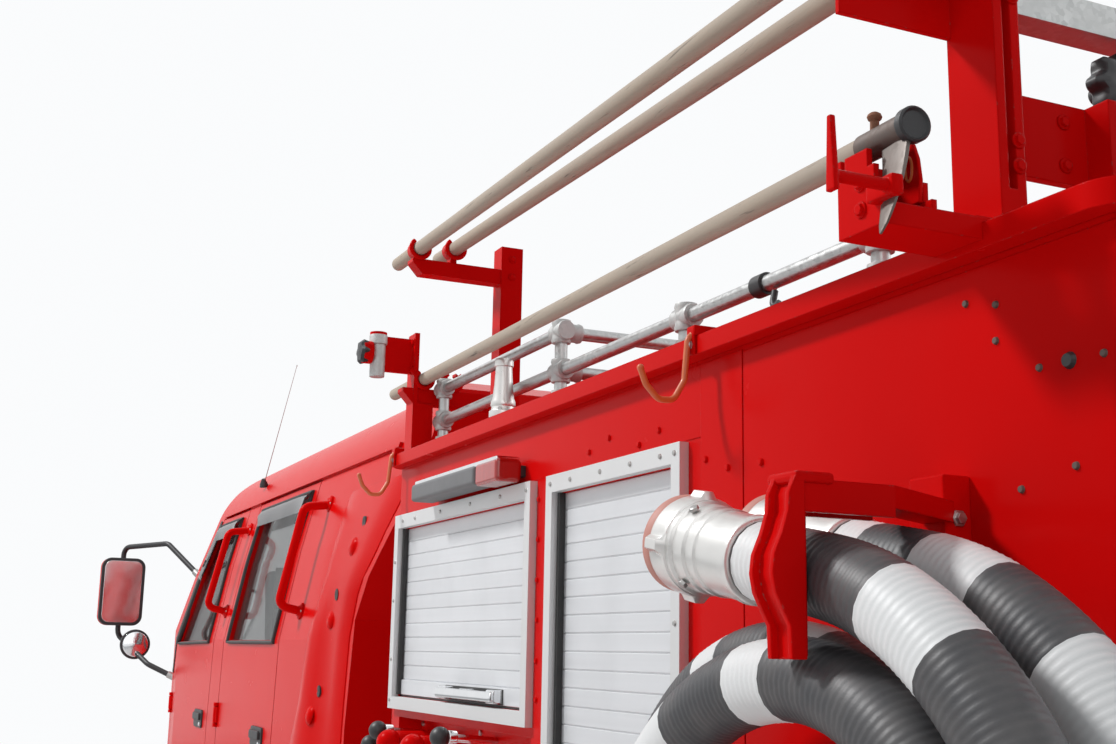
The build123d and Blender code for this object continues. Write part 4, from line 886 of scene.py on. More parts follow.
def rounded_rectangle(width: float, height: float, corner: float, centre: tuple[float, float] = (0, 0),
                      steps: int = 5) -> list[tuple[float, float]]:
    """Outline of a rectangle with round corners.

    Args:
        width: its size along the first axis.
        height: its size along the second axis.
        corner: radius of the corners.
        centre: its middle.
        steps: short runs in each corner.

    Returns:
        The outline's points, in order.
    """
    points = []
    for quarter, (sx, sy) in enumerate(((1, 1), (-1, 1), (-1, -1), (1, -1))):
        cx = centre[0] + sx * (width / 2 - corner)
        cy = centre[1] + sy * (height / 2 - corner)
        for i in range(steps + 1):
            angle = math.pi / 2 * (quarter + i / steps)
            points.append((cx + corner * math.cos(angle), cy + corner * math.sin(angle)))
    return points


class Skin:
    """The outer surface of some CAD nodes, for laying trim on it."""

    def __init__(self, *names: str) -> None:
        """Read the nodes' meshes.

        Args:
            names: the CAD nodes.
        """
        verts, faces = [], []
        for name in names:
            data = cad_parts[name].data
            offset = len(verts)
            verts += [v.co.copy() for v in data.vertices]
            faces += [[offset + i for i in p.vertices] for p in data.polygons]
        self.tree = BVHTree.FromPolygons(verts, faces)

    def cast(self, start: Point, way: Point, lift: float = 0.0) -> Vector:
        """Where a ray meets the surface.

        Args:
            start: where the ray starts.
            way: its direction.
            lift: height above the surface to stop at.

        Returns:
            The place, raised off the surface.
        """
        place, normal, _, _ = self.tree.ray_cast(Vector(start), Vector(way))
        if place is None:
            raise ValueError(f"no surface from {start} along {way}")
        if normal.dot(Vector(way)) > 0:
            normal = -normal
        return place + normal * lift

    def beside(self, side: Side, x: float, z: float, lift: float = 0.0) -> Vector:
        """The place on one flank at this X and Z."""
        return self.cast((x, 1.5 * side.value, z), (0, -side.value, 0), lift)

    def ahead(self, y: float, z: float, lift: float = 0.0) -> Vector:
        """The place on the front at this Y and Z."""
        return self.cast((3.4, y, z), BACK, lift)


def spaced(points: Outline, step: float, closed: bool = True) -> list[tuple[float, float]]:
    """Divide the runs of a flat outline.

    Args:
        points: its corners.
        step: longest run left.
        closed: whether the last corner joins the first.

    Returns:
        Corners and points between.
    """
    result = []
    corners = list(points) + ([points[0]] if closed else [])
    for a, b in zip(corners, corners[1:]):
        count = max(1, round(math.dist(a, b) / step))
        result += [(a[0] + (b[0] - a[0]) * i / count, a[1] + (b[1] - a[1]) * i / count) for i in range(count)]
    return result if closed else result + [corners[-1]]


def divided(points: Outline, count: int) -> list[tuple[float, float]]:
    """Divide each run of an open flat line into this many parts."""
    result = [((a[0] * (count - i) + b[0] * i) / count, (a[1] * (count - i) + b[1] * i) / count)
              for a, b in zip(points, points[1:]) for i in range(count)]
    return [*result, points[-1]]


def grown_outline(points: Outline, amount: float) -> list[tuple[float, float]]:
    """Move an outline's corners away from its middle by about this amount."""
    cx = sum(p[0] for p in points) / len(points)
    cy = sum(p[1] for p in points) / len(points)
    return [(x + math.copysign(amount, x - cx), y + math.copysign(amount, y - cy)) for x, y in points]


def patch(form: Form, grid: Sequence[Sequence[Vector]], inward: Point, thickness: float) -> None:
    """Add a thin curved plate from a grid of its outer points.

    Args:
        form: the form it goes in.
        grid: rows of outer points, each row the same length.
        inward: direction into the body.
        thickness: the plate's thickness.
    """
    back = Vector(inward) * thickness
    form.solid([[*row, *(p + back for p in reversed(row))] for row in grid])


@dataclass
class CabTrim:
    """Gaskets, visors, handles, pillar panels and small fittings on the cab and its doors."""

    studs: Studs
    skin: Skin
    windows: dict[str, Outline] = field(default_factory=lambda: {
        "front": ((1.628, 1.978), (2.012, 1.978), (2.130, 1.800), (2.282, 1.534), (1.628, 1.540)),
        "rear": ((0.585, 1.978), (1.262, 1.978), (1.262, 1.540), (0.585, 1.540))})
    handles: dict[str, tuple[float, float]] = field(default_factory=lambda: {
        "front": (1.690, 1.262), "rear": (0.700, 1.255)})
    pillar_front: Outline = ((0.118, 1.93), (0.138, 1.75), (0.158, 1.65), (0.178, 1.55), (0.215, 1.382),
                             (0.300, 1.24))
    pillar_rear: Outline = ((-0.440, 1.93), (-0.285, 1.75), (-0.185, 1.65), (-0.132, 1.55),
                            (-0.106, 1.382), (-0.09, 1.24))
    dimples: Outline = ((-0.165, 1.830), (-0.045, 1.655), (0.050, 1.410))
    strip: Outline = ((2.070, 2.006), (2.196, 1.812), (2.426, 1.408))
    grab_feet: Outline = ((1.425, 1.930), (1.440, 1.640), (0.325, 1.925), (0.335, 1.620))
    # left half of the windscreen's edge, in Y and Z
    screen: Outline = ((0, 1.238), (0.742, 1.250), (0.790, 1.300), (0.700, 2.050), (0.640, 2.092), (0, 2.104))
    wipers: Sequence[float] = (-0.06, 0.46)
    repeater: tuple[float, float] = (2.48, 1.02)
    aerial_foot: Point = (1.439, 0.780, 2.100)
    aerial_tip: Point = (1.029, 0.780, 2.462)

    def build(self) -> None:
        """Make every fitting of the cab."""
        for side in Side:
            for place in ("front", "rear"):
                self._gasket(side, place)
                self._handle(side, place)
                self._visor(side, place)
            self._pillar(side)
            self._pillar_strip(side)
            self._grab_feet(side)
        self._aerial()
        self._wipers()
        self._screen_gasket()
        self._nose()

    def _gasket(self, side: Side, place: str) -> None:
        """Rubber round one door window."""
        form = Form(f"gasket_{place}_{side.word}", GASKET)
        line = spaced(grown_outline(self.windows[place], 0.007), 0.04, True)
        path = [self.skin.beside(side, x, z, 0.002) for x, z in line]
        form.tube(path, 0.0085, sides=8, loop=True, flat=0.7)
        form.fit(f"{place}_door_{side.word}")

    def _handle(self, side: Side, place: str) -> None:
        """Black door handle: a sunk cup plate with its pull flap and key lock."""
        x, z = self.handles[place]
        y = self.skin.beside(side, x, z).y
        out = side.value
        form = Form(f"door_handle_{place}_{side.word}", PLASTIC, CHROME)
        form.prism(rounded_rectangle(0.150, 0.062, 0.014, (x, z)), Along.Y, y - 0.012 * out, y + 0.006 * out,
                   edge=0.002)
        form.prism(rounded_rectangle(0.122, 0.026, 0.008, (x, z + 0.008)), Along.Y, y, y + 0.014 * out,
                   edge=0.003)
        form.lathe((x - 0.052, y, z - 0.018), side.out, ((0, 0.008), (0.009, 0.008), (0.010, 0.006)),
                   CHROME, 16)
        form.fit(f"{place}_door_{side.word}")

    def _visor(self, side: Side, place: str) -> None:
        """Smoked wind visor over one door window."""
        outline = self.windows[place]
        top = [(outline[0][0] - 0.012, 1.990), (outline[1][0] + 0.004, 1.990)]
        low = [(outline[0][0] - 0.012, 1.925), (outline[1][0] - 0.024, 1.925)]
        if place == "front":
            top.append((2.146, 1.796))
            low.append((2.078, 1.772))
        rows = []
        for (xt, zt), (xl, zl) in zip(divided(top, 8), divided(low, 8)):
            upper = self.skin.beside(side, xt, zt, 0.004)
            lower = self.skin.beside(side, xl, zl, 0.004)
            out = Vector(side.out)
            rows.append([upper, upper.lerp(lower, 0.4) + out * 0.022, lower + out * 0.024])
        form = Form(f"visor_{place}_{side.word}", SMOKE)
        patch(form, rows, (0, -side.value, 0), 0.0025)
        form.fit(f"{place}_door_{side.word}", smooth=60)

    def _pillar(self, side: Side) -> None:
        """Raised panel behind the rear door, with a black disc as painted shade in each of its three dimples,
        and the swells below them.
        """
        rows = []
        front, rear = divided(self.pillar_front, 3), divided(self.pillar_rear, 3)
        for (xf, zf), (xr, zr) in zip(front, rear):
            row = []
            for i in range(9):
                share = i / 8
                x, z = xf + (xr - xf) * share, zf + (zr - zf) * share
                lift = 0.015 * min(1.0, 6 * min(share, 1 - share) + 0.12)
                row.append(self.skin.beside(side, x, z, lift))
            rows.append(row)
        form = Form(f"pillar_panel_{side.word}", RED, GASKET)
        patch(form, rows, (0, -side.value, 0), 0.012)
        for x, z in self.dimples:
            # black rubber disc: painted shade inside the dimple
            spot = self.skin.beside(side, x, z, 0.0155)
            form.lathe(spot, side.out, ((-0.004, 0.015), (0.0012, 0.015), (0.002, 0.012), (0.0, 0.001)),
                       GASKET, 20)
            swell = spot + Vector((0.046, 0, -0.062))
            form.lathe(self.skin.beside(side, swell.x, swell.z, 0.012), (0, side.value, 0.2),
                       ((0, 0.026), (0.005, 0.024), (0.010, 0.016), (0.012, 0.001)), RED, 20)
        form.fit(smooth=50)

    def _pillar_strip(self, side: Side) -> None:
        """Black strip down the front pillar."""
        form = Form(f"pillar_strip_{side.word}", GASKET)
        rows = [[self.skin.beside(side, x - 0.012, z, 0.003),
                 self.skin.beside(side, x + 0.018, z + 0.006, 0.003)]
                for x, z in spaced(self.strip, 0.05, False)]
        patch(form, rows, (0, -side.value, 0), 0.006)
        form.fit()

    def _grab_feet(self, side: Side) -> None:
        """Flanges and screws where the grab handles meet the pillars."""
        places = []
        form = Form(f"grab_feet_{side.word}", RED)
        for x, z in self.grab_feet:
            foot = self.skin.beside(side, x, z)
            form.lathe(foot, (0, side.value, 0.15),
                       ((-0.002, 0.024), (0.004, 0.024), (0.007, 0.017), (0.012, 0.0135)), None, 20)
            places += [((foot.x + dx, foot.y + 0.004 * side.value, foot.z + dz), (0, side.value, 0.1))
                       for dx, dz in ((0.018, 0), (-0.018, 0))]
        form.fit()
        self.studs.fit(f"grab_screws_{side.word}", places, 0.0045, 0.003, SCREW)

    def _aerial(self) -> None:
        """Whip aerial on a black foot."""
        form = Form("aerial", PLASTIC, SCREW)
        foot = Vector(self.aerial_foot)
        form.lathe(foot - Vector((0, 0, 0.012)), (-0.3, 0.2, 1), ((0, 0.016), (0.012, 0.014), (0.030, 0.006)))
        form.tube([foot, self.aerial_tip], 0.0016, SCREW, 8, taper=lambda s: 1 - 0.5 * s)
        form.ball(self.aerial_tip, 0.0028, SCREW, 8)
        form.fit()

    def _wipers(self) -> None:
        """Two wiper arms with their blades on the windscreen."""
        form = Form("wipers", PLASTIC)
        for y in self.wipers:
            pivot = self.skin.ahead(y, 1.215, 0.006)
            elbow = self.skin.ahead(y + 0.10, 1.36, 0.022)
            form.lathe(pivot, (1, 0, 0.5), ((0, 0.016), (0.014, 0.014), (0.018, 0.006)), None, 16)
            form.tube([pivot + Vector((0.012, 0, 0.006)), elbow], 0.006, flat=0.6)
            blade = [self.skin.ahead(y - 0.16 + 0.52 * s, 1.305 + 0.11 * s, 0.010)
                     for s in (i / 8 for i in range(9))]
            form.tube(blade, 0.005, flat=1.6)
        form.fit()

    def _screen_gasket(self) -> None:
        """Rubber frame round the windscreen."""
        loop = [*self.screen, *((-y, z) for y, z in reversed(self.screen[1:-1]))]
        path = [self.skin.ahead(y, z, 0.002) for y, z in spaced(grown_outline(loop, 0.010), 0.06)]
        form = Form("screen_gasket", GASKET)
        form.tube(path, 0.013, sides=10, loop=True, flat=0.5)
        form.fit()

    def _nose(self) -> None:
        """Side repeaters, and a blank plate on the bumper."""
        form = Form("nose_fittings", PLASTIC, AMBER_LENS, WHEEL)
        for side in Side:
            spot = self.skin.beside(side, *self.repeater)
            form.prism(rounded_rectangle(0.090, 0.046, 0.012, (spot.x, spot.z)), Along.Y,
                       spot.y - 0.004 * side.value, spot.y + 0.014 * side.value, AMBER_LENS, 0.003)
        form.box((2.886, -0.165, 0.50), (2.893, 0.165, 0.665), WHEEL, 0.004)
        form.box((2.880, -0.150, 0.515), (2.8885, 0.150, 0.650), PLASTIC, 0.001)
        form.fit()


@dataclass
class Mirrors:
    """Door mirrors: red shells with black faces on tube arms, and round near-view mirrors."""

    centre: Point = (2.690, 1.100, 1.740)
    width: float = 0.180
    height: float = 0.285
    depth: float = 0.070
    tube_radius: float = 0.011
    arms: Sequence[Sequence[Point]] = (
        ((2.455, 0.870, 1.380), (2.520, 0.990, 1.440), (2.700, 1.100, 1.560), (2.700, 1.100, 1.640)),
        ((2.290, 0.800, 1.760), (2.480, 0.950, 1.940), (2.700, 1.100, 1.930), (2.700, 1.100, 1.860)))
    small: Point = (2.600, 1.038, 1.520)
    bowl: Outline = ((-0.017, 0.001), (-0.017, 0.054), (-0.014, 0.061), (-0.004, 0.062), (0.010, 0.050),
                     (0.017, 0.022), (0.018, 0.001))

    def build(self) -> None:
        """Make both sides' mirrors."""
        form = Form("mirror_set", PLASTIC, RED, CHROME, SCREW)
        x, y, z = self.centre
        back = x - self.depth / 2
        # inset, corner, near, far, finish, edge, steps in the edge
        layers = ((0.0, 0.040, back + 0.010, x + self.depth / 2, RED, 0.022, 5),
                  (0.0, 0.040, back, back + 0.016, PLASTIC, 0.004, 2),
                  (0.026, 0.030, back - 0.0015, back + 0.002, CHROME, 0.001, 2))
        for side in Side:
            for inset, corner, near, far, finish, edge, steps in layers:
                outline = rounded_rectangle(self.width - inset, self.height - inset, corner,
                                            (y * side.value, z), 8)
                form.prism(outline, Along.X, near, far, finish, edge, steps)
            for arm in self.arms:
                path = [Vector(side.at(*p)) for p in arm]
                form.tube(path, self.tube_radius, PLASTIC, 14, 0.045)
                form.tube([path[0].lerp(path[1], 0.12), path[0].lerp(path[1], 0.34)], 0.0145, SCREW, 14)
            sx, sy, sz = side.at(*self.small)
            form.lathe((sx, sy, sz), FORWARD, self.bowl, PLASTIC, 36)
            form.lathe((sx - 0.0175, sy, sz), BACK, ((0, 0.052), (0.003, 0.048), (0.006, 0.001)), CHROME, 36)
            form.tube([(sx + 0.012, sy, sz), (sx + 0.03, sy + 0.012 * side.value, sz + 0.02)], 0.008, SCREW)
        form.fit("root", ("mirrors",))


@dataclass
class BodyPanels:
    """Overlay plates, seams and screws on the equipment body's flanks."""

    studs: Studs
    plates: Sequence[tuple[float, float, float, float]] = (
        (-1.4585, -1.5205, 0.900, 1.800), (-1.9985, -2.1020, 0.700, 1.898), (-0.7120, -2.0, 1.8000, 1.898))
    screws: Sequence[tuple[float, float]] = (
        (-1.504, 1.771), (-1.466, 1.635), (-1.508, 1.597), (-1.469, 1.506), (-1.505, 1.428), (-1.466, 1.767),
        (-1.467, 1.701), (-1.469, 1.571), (-1.472, 1.445), (-2.012, 1.769), (-2.012, 1.598), (-2.012, 1.464),
        (-2.067, 1.752), (-2.144, 1.750), (-1.883, 1.825), (-1.823, 1.812), (-1.726, 1.835), (-1.657, 1.822),
        (-2.085, 1.62), (-2.085, 1.48), (-2.085, 1.34), (-2.085, 1.20), (-2.012, 1.32), (-2.012, 1.18))
    bolts: Sequence[tuple[float, float]] = (
        (-2.650, 1.782), (-2.613, 1.782), (-2.690, 1.781), (-2.651, 1.688), (-2.583, 1.674), (-2.558, 1.818),
        (-2.560, 1.853), (-2.518, 1.863))

    def build(self) -> None:
        """Make both flanks."""
        for side in Side:
            form = Form(f"overlay_plates_{side.word}", RED)
            for i, (x_front, x_rear, low, high) in enumerate(self.plates):
                proud = 0.0016 if i < 2 else 0.0010
                form.box(side.at(x_front, WALL, low), side.at(x_rear, WALL + proud, high), edge=0.0005)
            form.box(side.at(-2.104, WALL, 1.330), side.at(-2.716, WALL + 0.0012, 1.896), edge=0.0005)
            form.fit()
            screws = [(side.at(x, WALL + 0.0012, z), side.out) for x, z in self.screws]
            plug, *bolts = [(side.at(x, WALL + 0.001, z), side.out) for x, z in self.bolts]
            self.studs.fit(f"panel_screws_{side.word}", screws, 0.0052, 0.0036, RED)
            self.studs.fit(f"panel_bolts_{side.word}", bolts, 0.0042, 0.003, DARK_STEEL)
            self.studs.fit(f"panel_plug_{side.word}", [plug], 0.0085, 0.005, PLASTIC)
        self._mudflaps()

    def _mudflaps(self) -> None:
        """Rubber flaps behind the rear wheels, each with its steel strip."""
        form = Form("mudflaps", GASKET, SCREW)
        for side in Side:
            form.box(side.at(-1.690, 0.500, 0.235), side.at(-1.684, 0.930, 0.575), GASKET, 0.002)
            form.box(side.at(-1.694, 0.500, 0.545), side.at(-1.690, 0.930, 0.575), SCREW, 0.001)
        form.fit()


@dataclass
class Shutter:
    """One roller shutter: slatted curtain that rolls up, its bottom bar with lift handle and its guides."""

    row: Row
    name: str
    body: str
    out: Point
    handle_shift: float
    handle_width: float
    stay: float
    pitch: float = 0.0268

    def build(self) -> None:
        """Make the curtain, the bar and the guides."""
        self.low, self.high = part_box(f"shutter_curtain_{self.name}")
        self.facing = 1 if self.out[1] else 0
        self.sign = self.out[self.facing]
        self.face = (self.high if self.sign > 0 else self.low)[self.facing]
        self.start, self.end = self.low[1 - self.facing], self.high[1 - self.facing]
        self._curtain()
        self._bar()
        self._guides()

    def _block(self, form: Form, across: Sequence[float], depth: Sequence[float], height: Sequence[float],
               finish: Finish, edge: float = 0.001) -> None:
        """A block given across, outwards from the curtain's face, and up."""
        corners = []
        for place, d, z in zip(across, depth, height):
            corner = [place, place, z]
            corner[self.facing] = self.face + self.sign * d
            corners.append(corner)
        form.box(*corners, finish, edge)

    def _curtain(self) -> None:
        """Repeat one slat up the curtain and set a rubber backing behind the slats."""
        low, high = self.low.z, self.high.z
        count = int((high - low) // self.pitch)
        step = (high - low) / count
        slat = Form(f"slats_{self.name}", ALLOY)
        outline = ((-0.0012, 0.0001), (-0.0012, 0.0010), (0.0, 0.0022), (0.0, step - 0.0012),
                   (-0.0010, step - 0.0002), (-0.006, step - 0.0001), (-0.006, 0.0001))
        slat.prism([(self.face + self.sign * d, low + z) for d, z in outline],
                   Along.X if self.facing else Along.Y, self.start, self.end, edge=0)
        slats = self.row.grow(slat, count, (0, 0, step))
        backing = Form("backing", GASKET)
        self._block(backing, (self.start + 0.001, self.end - 0.001), (-0.0085, -0.0055),
                    (low, high - 0.001), GASKET)
        curtain = joined(f"curtain_{self.name}", [slats, backing.made()])
        hang(curtain, self.body, ALLOY.slot, (f"shutter_curtain_{self.name}",))
        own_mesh(curtain)

    def _bar(self) -> None:
        """Bottom bar with its rubber foot and plated lift handle, with a black plate round the handle as
        painted shade in its gaps.
        """
        low, high = (corner.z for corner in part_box(f"shutter_bar_{self.name}"))
        middle = (self.start + self.end) / 2 + self.handle_shift
        left, right = middle - self.handle_width / 2, middle + self.handle_width / 2
        form = Form(f"bar_{self.name}", ALLOY, CHROME, GASKET)
        # across, outwards, up, finish, edge
        blocks = (
            ((self.start, self.end), (-0.008, 0.004), (low + 0.004, high), ALLOY, 0.0015),
            ((self.start, self.end), (-0.006, 0.002), (low, low + 0.005), GASKET, 0.0005),
            # black plate round and behind the handle: painted shade in the gaps
            ((left - 0.004, right + 0.004), (0.003, 0.0055), (low + 0.005, high - 0.003), GASKET, 0.001),
            ((left, left + 0.036), (0.003, 0.022), (low + 0.006, high - 0.004), CHROME, 0.003),
            ((right - 0.036, right), (0.003, 0.022), (low + 0.006, high - 0.004), CHROME, 0.003),
            ((left, right), (0.019, 0.029), (low + 0.009, high - 0.007), CHROME, 0.004),
            ((middle - 0.006, middle + 0.030), (0.003, 0.021), (low + 0.008, high - 0.006), CHROME, 0.002))
        for block in blocks:
            self._block(form, *block)
        form.fit(self.body, (f"shutter_bar_{self.name}",))

    def _guides(self) -> None:
        """Brush seals inside the two guides."""
        form = Form(f"guide_seals_{self.name}", GASKET)
        for across in ((self.start, self.start + 0.009), (self.end - 0.009, self.end)):
            self._block(form, across, (0.0005, 0.011), (self.low.z - 0.030, self.high.z), GASKET)
        form.fit()


@dataclass
class ShutterFrames:
    """Screws along the shutters' headers and guides."""

    studs: Studs
    face: float = 0.954
    header_z: float = 1.784
    fore: Sequence[float] = (-0.775, -0.855, -1.009, -1.175, -1.323, -1.440)
    aft: Sequence[float] = (-1.540, -1.616, -1.722, -1.820, -1.910, -1.950)
    # X of a guide, with the heights of its screws
    guides: Sequence[tuple[float, Sequence[float]]] = (
        (-0.733, (1.70, 1.62, 1.50, 1.418)), (-1.952, (1.70, 1.56, 1.42, 1.28, 1.14)))

    def build(self) -> None:
        """Set the screws on both sides."""
        for side in Side:
            places = [(side.at(x, self.face, self.header_z), side.out) for x in (*self.fore, *self.aft)]
            places += [(side.at(x, self.face, z), side.out) for x, heights in self.guides for z in heights]
            self.studs.fit(f"frame_screws_{side.word}", places, 0.0042, 0.0024, SCREW)


@dataclass
class PumpPanel:
    """Caps, gauges, levers and ball knobs on the pump panels."""

    studs: Studs
    face: float = 0.892
    caps: Sequence[tuple[float, float, float, float]] = (
        (-1.120, 1.010, 0.062, 0.095), (-0.900, 1.030, 0.038, 0.080), (-1.320, 1.030, 0.038, 0.080))
    gauges: Sequence[float] = (-0.960, -1.120, -1.280)
    gauge_z: float = 1.230
    screws_x: Sequence[float] = (-0.775, -1.105, -1.435)
    screws_z: Sequence[float] = (0.915, 1.140, 1.372)
    knobs: Sequence[Point] = ((-0.812, 1.000, 1.361), (-1.184, 1.000, 1.370), (-0.762, 1.000, 1.331))

    def build(self) -> None:
        """Make both sides' fittings."""
        for side in Side:
            out = side.out
            form = Form(f"pump_fittings_{side.word}", COUPLING, CHROME, PLASTIC, WHEEL, RED)
            for x, z, radius, reach in self.caps:
                tip = self.face + reach
                form.lathe(side.at(x, tip - 0.034, z), out,
                           ((0, radius + 0.001), (0, radius + 0.008), (0.026, radius + 0.008),
                            (0.032, radius + 0.002), (0.036, radius * 0.5), (0.036, 0.001)), COUPLING, 48,
                           shape=lambda a, s: 1 + (0.10 if math.cos(3 * a) > 0.86 and 0 < s < 0.03 else 0.0))
                form.lathe(side.at(x, self.face, z), out,
                           ((0, radius + 0.018), (0.006, radius + 0.018), (0.010, radius + 0.004),
                            (0.016, radius + 0.001)), CHROME, 40)
            for x in self.gauges:
                form.lathe(side.at(x, self.face + 0.018, self.gauge_z), out,
                           ((0, 0.053), (0.006, 0.055), (0.010, 0.052), (0.008, 0.046)), CHROME, 40)
                form.lathe(side.at(x, self.face + 0.020, self.gauge_z), out,
                           ((0, 0.046), (0.002, 0.046), (0.002, 0.001)), WHEEL, 40)
                form.box(side.at(x - 0.002, self.face + 0.021, self.gauge_z - 0.008),
                         side.at(x + 0.002, self.face + 0.0235, self.gauge_z + 0.032), PLASTIC, 0.0005)
            for x, y, z in self.knobs:
                form.tube([side.at(x, self.face - 0.02, z - 0.01), side.at(x, y - 0.012, z)], 0.0075,
                          CHROME, 14)
                form.lathe(side.at(x, y - 0.030, z), out, ((0, 0.011), (0.014, 0.012), (0.018, 0.009)),
                           CHROME, 20)
                form.ball(side.at(x, y, z), 0.0185, PLASTIC, 20)
            form.fit()
            screws = [(side.at(x, self.face, z), out) for x in self.screws_x for z in self.screws_z]
            self.studs.fit(f"pump_screws_{side.word}", screws, 0.006, 0.004, SCREW, sides=6, top=0.9)


@dataclass
class Lamps:
    """Headlamps, tail lamp clusters and side marker bars, in place of their plain solids."""

    marker: tuple[float, float, float, float] = (-0.962, -1.412, 1.800, 1.844)
    rear: float = -2.720
    tail_y: float = 0.800
    tails: Sequence[tuple[float, Finish]] = ((1.010, CLEAR_LENS), (1.120, AMBER_LENS), (1.230, RED_LENS))
    headlamp_z: float = 0.620

    def build(self) -> None:
        """Make all lamps."""
        form = Form("lamp_set", GREY, RED_LENS, CLEAR_LENS, AMBER_LENS, CHROME, PLASTIC)
        x_front, x_rear, low, high = self.marker
        lens_x = x_rear + 0.105
        # two corners as X, height off the wall and Z, finish, edge, steps in the edge
        marker = (
            ((x_front, 0.010, low + 0.004), (lens_x, 0.060, high - 0.006), GREY, 0.007, 4),
            ((x_front + 0.004, 0.0, low + 0.010), (x_rear + 0.006, 0.012, high - 0.014), PLASTIC, 0.002, 2),
            ((x_front - 0.010, 0.012, high - 0.010), (x_rear + 0.006, 0.056, high), CHROME, 0.003, 2),
            ((lens_x - 0.002, 0.010, low), (x_rear, 0.058, high - 0.004), RED_LENS, 0.008, 4))
        for side in Side:
            for *corners, finish, edge, steps in marker:
                form.box(*(side.at(x, WALL + proud, z) for x, proud, z in corners), finish, edge, steps)
            for z, finish in self.tails:
                centre = (self.tail_y * side.value, z)
                case = rounded_rectangle(0.170, 0.092, 0.020, centre)
                lens = rounded_rectangle(0.156, 0.078, 0.016, centre)
                form.prism(case, Along.X, self.rear - 0.030, self.rear, PLASTIC, 0.003)
                form.prism(lens, Along.X, self.rear - 0.046, self.rear - 0.028, finish, 0.006, 3)
            self._headlamp(form, side)
        form.fit("root", ("lamps",))

    def _headlamp(self, form: Form, side: Side) -> None:
        """One headlamp: case, chrome bezel and lens, with its amber corner lamp."""
        y, z = 0.575 * side.value, self.headlamp_z
        case = rounded_rectangle(0.296, 0.166, 0.028, (0.600 * side.value, z))
        corner = rounded_rectangle(0.066, 0.140, 0.020, (0.704 * side.value, z))
        form.prism(case, Along.X, 2.700, 2.802, PLASTIC, 0.004)
        form.lathe((2.800, y, z), FORWARD,
                   ((0, 0.066), (0.006, 0.069), (0.010, 0.066), (0.006, 0.060)), CHROME, 40)
        form.lathe((2.802, y, z), FORWARD,
                   ((0, 0.060), (0.010, 0.056), (0.017, 0.040), (0.020, 0.001)), CLEAR_LENS, 40)
        form.prism(corner, Along.X, 2.796, 2.812, AMBER_LENS, 0.005, 3)


@dataclass
class DeckRails:
    """Cast tees, elbows and flanges on the galvanised deck rails."""

    studs: Studs
    rail_y: float = 0.903
    low_z: float = 1.988
    high_z: float = 2.056
    posts: Sequence[tuple[float, float]] = (
        (-1.458, 2.056), (-1.891, 1.988), (-2.336, 1.988), (-0.862, 2.056))

    def build(self) -> None:
        """Make the fittings, the flange bolts, and the clip with its small hook."""
        form = Form("rail_fittings", CAST, PLASTIC)
        bolts = []
        for side in Side:
            for x, top in self.posts:
                spot = side.at(x, self.rail_y, LIP_TOP)
                form.lathe(spot, UP, ((-0.001, 0.027), (0.006, 0.027), (0.009, 0.017), (0.026, 0.0155),
                                      (0.027, 0.0125)), None, 28)
                bolts += [((spot[0] + dx, spot[1] + dy, LIP_TOP + 0.006), UP)
                          for dx, dy in ((0.019, 0.012), (-0.019, 0.012), (0.019, -0.012), (-0.019, -0.012))]
                for z in {self.low_z, top}:
                    joint = side.at(x, self.rail_y, z)
                    self._collar(form, joint, FORWARD, 0.046)
                    self._collar(form, joint, UP, 0.040)
                    form.ball(joint, 0.0168, None, 20)
            for z in (self.low_z, self.high_z):
                self._collar(form, side.at(-1.458, self.rail_y - 0.020, z), LEFTWARD, 0.030)
        clip = (-2.092, self.rail_y, self.low_z)
        form.lathe((clip[0] - 0.012, clip[1], clip[2]), FORWARD,
                   ((0, 0.0112), (0, 0.0150), (0.024, 0.0150), (0.024, 0.0112)), PLASTIC, 24, closed=True)
        hook = ((-2.120, 0, 1.974), (-2.121, 0.004, 1.958), (-2.128, 0.006, 1.950), (-2.137, 0.004, 1.955))
        form.tube([(x, clip[1] + dy, z) for x, dy, z in hook], 0.0045, PLASTIC, 10, 0.006)
        form.fit()
        self.studs.fit("rail_bolts", bolts, 0.005, 0.005, SCREW, sides=6, top=0.95)

    def _collar(self, form: Form, centre: Point, way: Point, length: float) -> None:
        """One beaded socket of a cast fitting."""
        h = length / 2
        form.lathe(centre, way, ((-h, 0.0104), (-h, 0.0160), (-h + 0.005, 0.0172), (-h + 0.009, 0.0158),
                                 (h - 0.009, 0.0158), (h - 0.005, 0.0172), (h, 0.0160), (h, 0.0104)),
                   None, 24)


